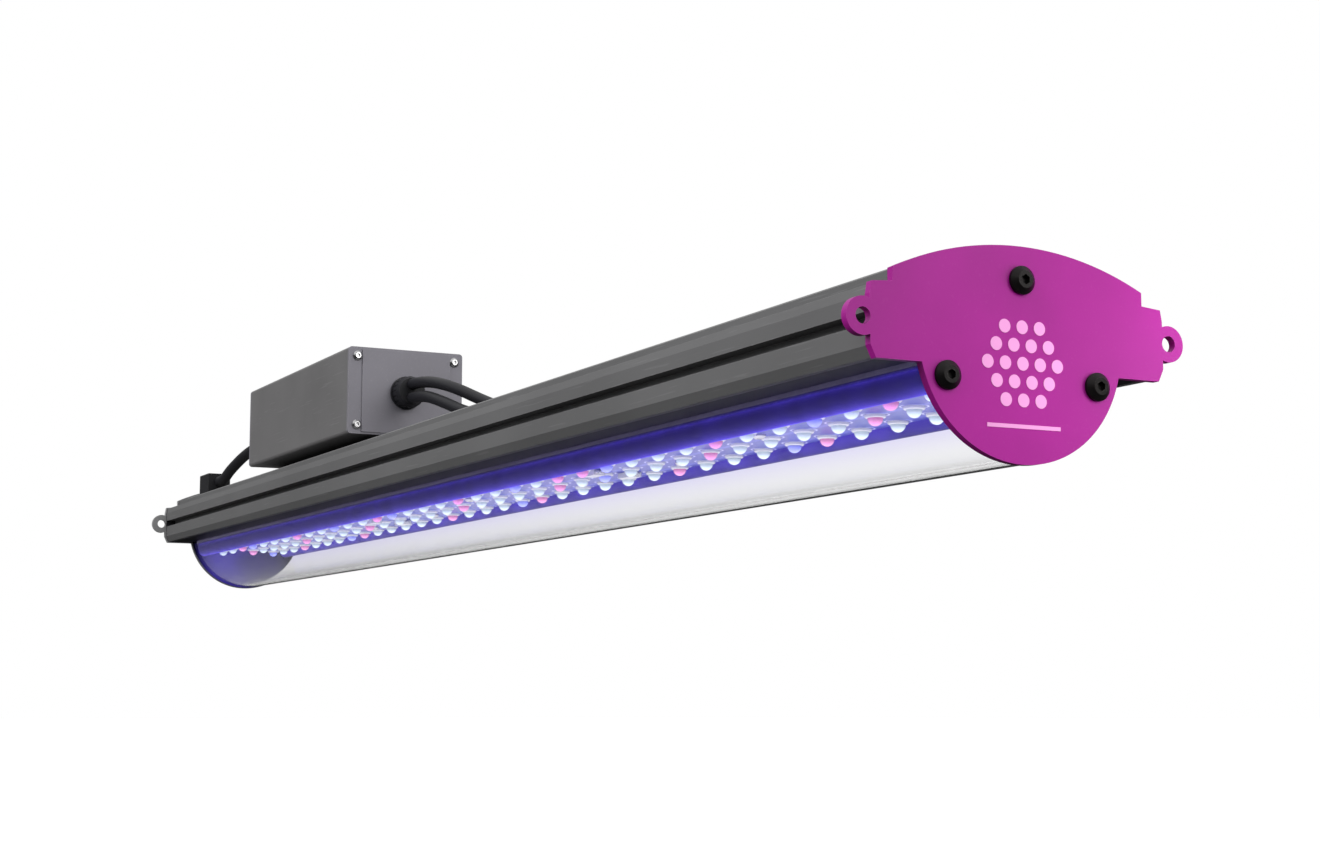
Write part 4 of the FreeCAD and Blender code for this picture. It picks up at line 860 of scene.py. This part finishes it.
@dataclass
class DriverBox:
    """The grey box on top, its feet, glands and what is inside."""

    effects: Effects
    paint: Finish = Finish(
        "box_paint", (0.160, 0.157, 0.160), roughness=0.44, metallic=0.15, grain_scale=1300.0,
        grain_depth=0.06, mottle_scale=22.0, mottle=0.10, wear=0.5,
        wear_colour=(0.36, 0.36, 0.37), dust=0.10, scratches=0.3)
    panel: Finish = Finish(
        "panel_paint", (0.215, 0.208, 0.238), roughness=0.40, metallic=0.2, grain_scale=1300.0,
        grain_depth=0.05, mottle_scale=26.0, mottle=0.10, wear=0.6,
        wear_colour=(0.42, 0.42, 0.44), dust=0.05, scratches=0.25)
    nylon: Finish = Finish(
        "black_nylon", (0.016, 0.016, 0.020), roughness=0.40, wear=0.2,
        wear_colour=(0.08, 0.08, 0.09), dust=0.06)
    rubber: Finish = Finish(
        "boot_rubber", (0.014, 0.014, 0.017), roughness=0.62, grain_scale=2600.0,
        wear=0.0, dust=0.10, scratches=0.0)
    bright: Finish = Finish(
        "bright_screws", (0.86, 0.86, 0.87), roughness=0.22, metallic=1.0, wear=0.0,
        dust=0.04, scratches=0.3)
    mask: Finish = Finish("green_mask", (0.02, 0.14, 0.05), roughness=0.3, coat=0.4, wear=0.0)
    sleeve: Finish = Finish("dark_sleeve", (0.02, 0.02, 0.04), roughness=0.3, coat=0.3, wear=0.1)
    winding: Finish = Finish("enamelled_wire", (0.60, 0.25, 0.09), roughness=0.35, metallic=0.8, wear=0.0)
    bare: Finish = Finish("milled_aluminium", (0.62, 0.62, 0.64), roughness=0.35, metallic=1.0, wear=0.2)
    terminal: Finish = Finish("terminal_green", (0.04, 0.24, 0.10), roughness=0.35, wear=0.0)
    wire: Finish = Finish("red_wire", (0.45, 0.025, 0.025), roughness=0.5, wear=0.0)

    def build(self) -> None:
        """Dress the box inside and out."""
        groups = (
            (self.paint, ["driver_case", "driver_foot_near", "driver_foot_far"]),
            (self.panel, ["driver_panel_near", "driver_panel_far"]),
            (self.nylon, ["cord_gland_body", "cord_gland_nut", "cord_gland_locknut", "lead_gland"]),
            (self.rubber, ["cord_gland_bush", "lead_boot", "led_lead", "driver_leads"]),
            (self.bright, ["driver_panel_screws"]),
            (self.mask, ["driver_circuit_board"]),
            (self.sleeve, ["driver_transformer", "driver_capacitors"]),
            (self.winding, ["driver_choke"]),
            (self.bare, ["driver_standoffs", "driver_heat_spreader"]),
            (self.terminal, ["driver_terminal_block"]),
            (self.wire, ["feed_wires"]),
        )
        for finish, nodes in groups:
            dress(nodes, finish.material(self.effects))
        soften_edges(["driver_case", "driver_panel_near", "driver_panel_far"], 0.3 * MM)


class CordEnd(Enum):
    """What closes a cord: the relief's node, and the pieces beyond it."""

    POWER_IN = ("input_cord_relief", ("input_plug_body", "input_coupling_ring", "input_pins"))
    LINK_OUT = ("link_cord_relief", ("link_socket_body", "link_contacts"))


@dataclass
class Cord:
    """A round cord from the gland to its connector, with a ribbed relief."""

    effects: Effects
    name: str
    node: str
    length: float
    end: CordEnd
    points: list[tuple[float, float, float]]
    diameter: float = 6.5 * MM
    rib_count: int = 6
    rib_start: float = 0.4
    relief_wall: float = 0.5 * MM
    relief_chamfer: float = 0.3 * MM
    jacket: Finish = Finish(
        "cord_jacket", (0.014, 0.014, 0.018), roughness=0.48, grain_scale=3000.0, grain_depth=0.02, wear=0.0,
        dust=0.06, scratches=0.0, specular=0.5)
    moulded: Finish = Finish(
        "moulded_connector", (0.018, 0.018, 0.021), roughness=0.45, wear=0.15,
        wear_colour=(0.07, 0.07, 0.08), dust=0.05)
    contact: Finish = Finish(
        "gold_contact", (0.80, 0.56, 0.24), roughness=0.25, metallic=1.0, wear=0.0, dust=0.0)

    def build(self) -> None:
        """Lay the cord and dress what is on its end."""
        relief = self._relief()
        curve = bpy.data.curves.new(self.name, "CURVE")
        curve.dimensions = "3D"
        spline = curve.splines.new("NURBS")
        spline.points.add(len(self.points) - 1)
        gland = gland_middle()
        spots = [gland + Vector(point) * MM for point in self.points]
        for point, spot in zip(spline.points, spots):
            point.co = (*spot, 1.0)
        spline.order_u = 3
        spline.use_endpoint_u = True
        spline.resolution_u = 12
        curve.bevel_depth = self.diameter / 2
        curve.bevel_resolution = 6
        curve.use_fill_caps = True
        curve.materials.append(self.jacket.material(self.effects))
        piece = link_piece(bpy.data.objects.new(self.name, curve), MAIN_BODY)
        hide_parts(self.node)
        dress(self.end.value[1][:-1], self.moulded.material(self.effects))
        dress(self.end.value[1][-1:], self.contact.material(self.effects))

    def _relief(self) -> bpy.types.Object:
        """A tapered relief with ribs and notches, in the place of its plain cone."""
        node = self.end.value[0]
        low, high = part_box(node)
        length = high[0] - low[0]
        thick = (high[1] - low[1]) / 2
        thin = self.diameter / 2 + self.relief_wall
        cut = self.relief_chamfer
        centre = Vector((low[0], (low[1] + high[1]) / 2, (low[2] + high[2]) / 2))
        profile = [(0.0, 0.0), (0.0, thin - cut), (cut, thin)]
        notch = ((0.25, 0.0), (0.34, 0.55), (0.66, 0.55), (0.75, 0.0))
        pitch = length / (self.rib_count + 1)
        for rib in range(self.rib_count):
            for share, depth in notch:
                along = (rib + self.rib_start + share) * pitch
                radius = thin + (thick - thin) * along / length
                profile.append((along, radius - depth * MM))
        profile += [(length - cut, thick), (length, thick - cut), (length, 0.0)]
        material = self.moulded.material(self.effects)
        piece = mesh_piece(self.name + "_boot", turned_mesh(profile, centre), material)
        link_piece(piece, MAIN_BODY)
        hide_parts(node)
        return piece


# ------------------------------------------------------------------------ studio


@dataclass
class Studio:
    """Floor, soft light, the LEDs' own glow and the camera."""

    floor_drop: float = 0.9
    floor_radius: float = 60.0
    floor_glow: float = 0.45
    above: float = 1.15
    below: float = 0.10
    in_reflections: float = 0.60
    sky_from: float = -0.35
    sky_to: float = 0.45
    reflected_from: float = 0.0
    reflected_to: float = 0.6
    reflected_low: float = 0.03
    camera_spot: tuple[float, float, float] = (0.99263, -0.40268, -0.1154)
    camera_turn: float = 63.125
    camera_tilt: float = 7.105
    camera_lens: float = 56.43

    def build(self) -> None:
        """Set up everything round the object."""
        bpy.context.scene.view_settings.view_transform = "Standard"
        self._world()
        self._floor()
        self._area("key_light", (2.2, 0.9, 1.1), (0.2, 0.0, 0.0), (1.4, 1.4), 16.0, (1.0, 0.99, 0.98))
        end = self._area("end_light", (0.56, 0.16, -0.01), (0.46, 0.06, 0.0), (0.10, 0.10), 0.28,
                         (1.0, 0.98, 0.99))
        end.visible_glossy = False
        front = self._area("front_light", (-0.2, -2.0, 1.0), (-0.1, 0.0, 0.0), (2.4, 1.2), 32.0,
                           (1.0, 1.0, 1.0))
        front.visible_glossy = False
        self._glow()
        self._camera()

    def _world(self) -> None:
        """A sky of soft light that the eye sees as white, dim below and in reflections."""
        world = bpy.data.worlds.new("soft_white")
        bpy.context.scene.world = world
        world.use_nodes = True
        graph = Graph(world.node_tree)
        ground = world.node_tree.nodes["Background"]
        path = graph.add("ShaderNodeLightPath").outputs
        bounces = graph.math("ADD", path["Glossy Depth"], path["Diffuse Depth"])
        direct = graph.math("LESS_THAN", bounces, 0.5)
        through = graph.math("MULTIPLY", path["Is Transmission Ray"], direct)
        seen = graph.math("MAXIMUM", path["Is Camera Ray"], through)
        height = graph.axes(graph.add("ShaderNodeTexCoord").outputs["Generated"])[2]
        sky = graph.band(height, self.sky_from, self.sky_to, self.below, self.above)
        glossy = graph.band(height, self.reflected_from, self.reflected_to, self.reflected_low,
                            self.in_reflections)
        matt = graph.math("LESS_THAN", path["Glossy Depth"], 0.5)
        extra = graph.math("MULTIPLY", matt, graph.math("SUBTRACT", sky, glossy))
        unseen = graph.math("ADD", extra, glossy)
        lift = graph.math("MULTIPLY", seen, graph.math("SUBTRACT", 1.0, unseen))
        strength = graph.math("ADD", unseen, lift)
        graph.put(ground.inputs["Color"], (1.0, 1.0, 1.0))
        graph.put(ground.inputs["Strength"], strength)

    def _floor(self) -> None:
        """A wide pale floor, which lights nothing itself."""
        shape = bmesh.new()
        bmesh.ops.create_circle(shape, cap_ends=True, segments=96, radius=self.floor_radius)
        material = bpy.data.materials.new("pale_floor")
        material.use_nodes = True
        shader = material.node_tree.nodes["Principled BSDF"]
        shader.inputs["Base Color"].default_value = (0.86, 0.86, 0.86, 1.0)
        shader.inputs["Roughness"].default_value = 0.9
        shader.inputs["Emission Color"].default_value = (1.0, 1.0, 1.0, 1.0)
        shader.inputs["Emission Strength"].default_value = self.floor_glow
        floor = mesh_piece("floor", shape, material)
        floor.location.z = CAD_BOX[0][2] - self.floor_drop
        floor.visible_diffuse = False
        floor.visible_glossy = False
        bpy.context.scene.collection.objects.link(floor)

    def _area(self, name: str, spot: Sequence[float], aim: Sequence[float], size: tuple[float, float],
              power: float, colour: Colour) -> bpy.types.Object:
        """One rectangular light.

        Args:
            name: its name.
            spot: where it stands.
            aim: what it points at.
            size: its two sides in metres.
            power: watts.
            colour: its colour.

        Returns:
            The light's object.
        """
        light = bpy.data.lights.new(name, "AREA")
        light.shape = "RECTANGLE"
        light.size, light.size_y = size
        light.energy = power
        light.color = colour
        lamp = bpy.data.objects.new(name, light)
        lamp.location = spot
        lamp.rotation_euler = (Vector(aim) - Vector(spot)).to_track_quat("-Z", "Y").to_euler()
        lamp.visible_camera = False
        lamp.visible_transmission = False
        bpy.context.scene.collection.objects.link(lamp)
        return lamp

    def _glow(self) -> None:
        """Violet light inside the lens, as the LEDs throw it."""
        low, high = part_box("led_domes_white")
        middle = (low[0] + high[0]) / 2
        height = low[2] - 1.0 * MM
        lamp = self._area("led_glow", (middle, 0.0, height), (middle, 0.0, height - 1.0),
                          (high[0] - low[0], 0.04), 0.6, (0.36, 0.34, 1.0))
        lamp.rotation_euler = (0.0, 0.0, 0.0)
        lamp.visible_glossy = False

    def _camera(self) -> None:
        """Low at the near end, looking back along the bar and a little up."""
        data = bpy.data.cameras.new("camera")
        data.sensor_width = 36.0
        data.lens = self.camera_lens
        camera = bpy.data.objects.new("camera", data)
        camera.location = self.camera_spot
        camera.rotation_euler = (math.radians(90.0 + self.camera_tilt), 0.0, math.radians(self.camera_turn))
        bpy.context.scene.collection.objects.link(camera)
        bpy.context.scene.camera = camera


# Routes of the cords in millimetres, from the cord gland's middle at the near panel.
INPUT_ROUTE = [(6, 0, 4), (27, 0, 4), (53, 7, -2), (79, 18, -14), (110, 27.5, -24.7),
               (145, 31, -27.2), (167, 32, -23.6), (182, 32, -23.6)]
LINK_ROUTE = [(6, 0, -4), (26, 0, -4), (49, 3.5, -10.5), (75, 10, -20.5), (109, 16, -24.2),
              (155, 17, -24.6), (209, 16, -24.4), (255, 21.5, -25.2), (288, 29.5, -26.4),
              (313, 32, -23.6), (329, 32, -23.6)]


def gland_middle() -> Vector:
    """The middle of the cord gland where it meets the near panel."""
    low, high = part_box("cord_gland_locknut")
    return Vector((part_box("driver_panel_near")[1][0], (low[1] + high[1]) / 2, (low[2] + high[2]) / 2))


def main() -> None:
    """Build every sub-assembly and the studio."""
    logging.basicConfig(level=logging.INFO, format="%(name)s: %(message)s")
    effects = Effects()
    Studio().build()
    Cord(effects, "power_cord", "input_cord", 0.185, CordEnd.POWER_IN, INPUT_ROUTE).build()
    Cord(effects, "outlet_cord", "link_cord", 0.328, CordEnd.LINK_OUT, LINK_ROUTE).build()
    Extrusion(effects).build()
    Lens(effects).build()
    LightEngine(effects).build()
    EndCaps(effects).build()
    DriverBox(effects).build()


if __name__ == "__main__":
    main()
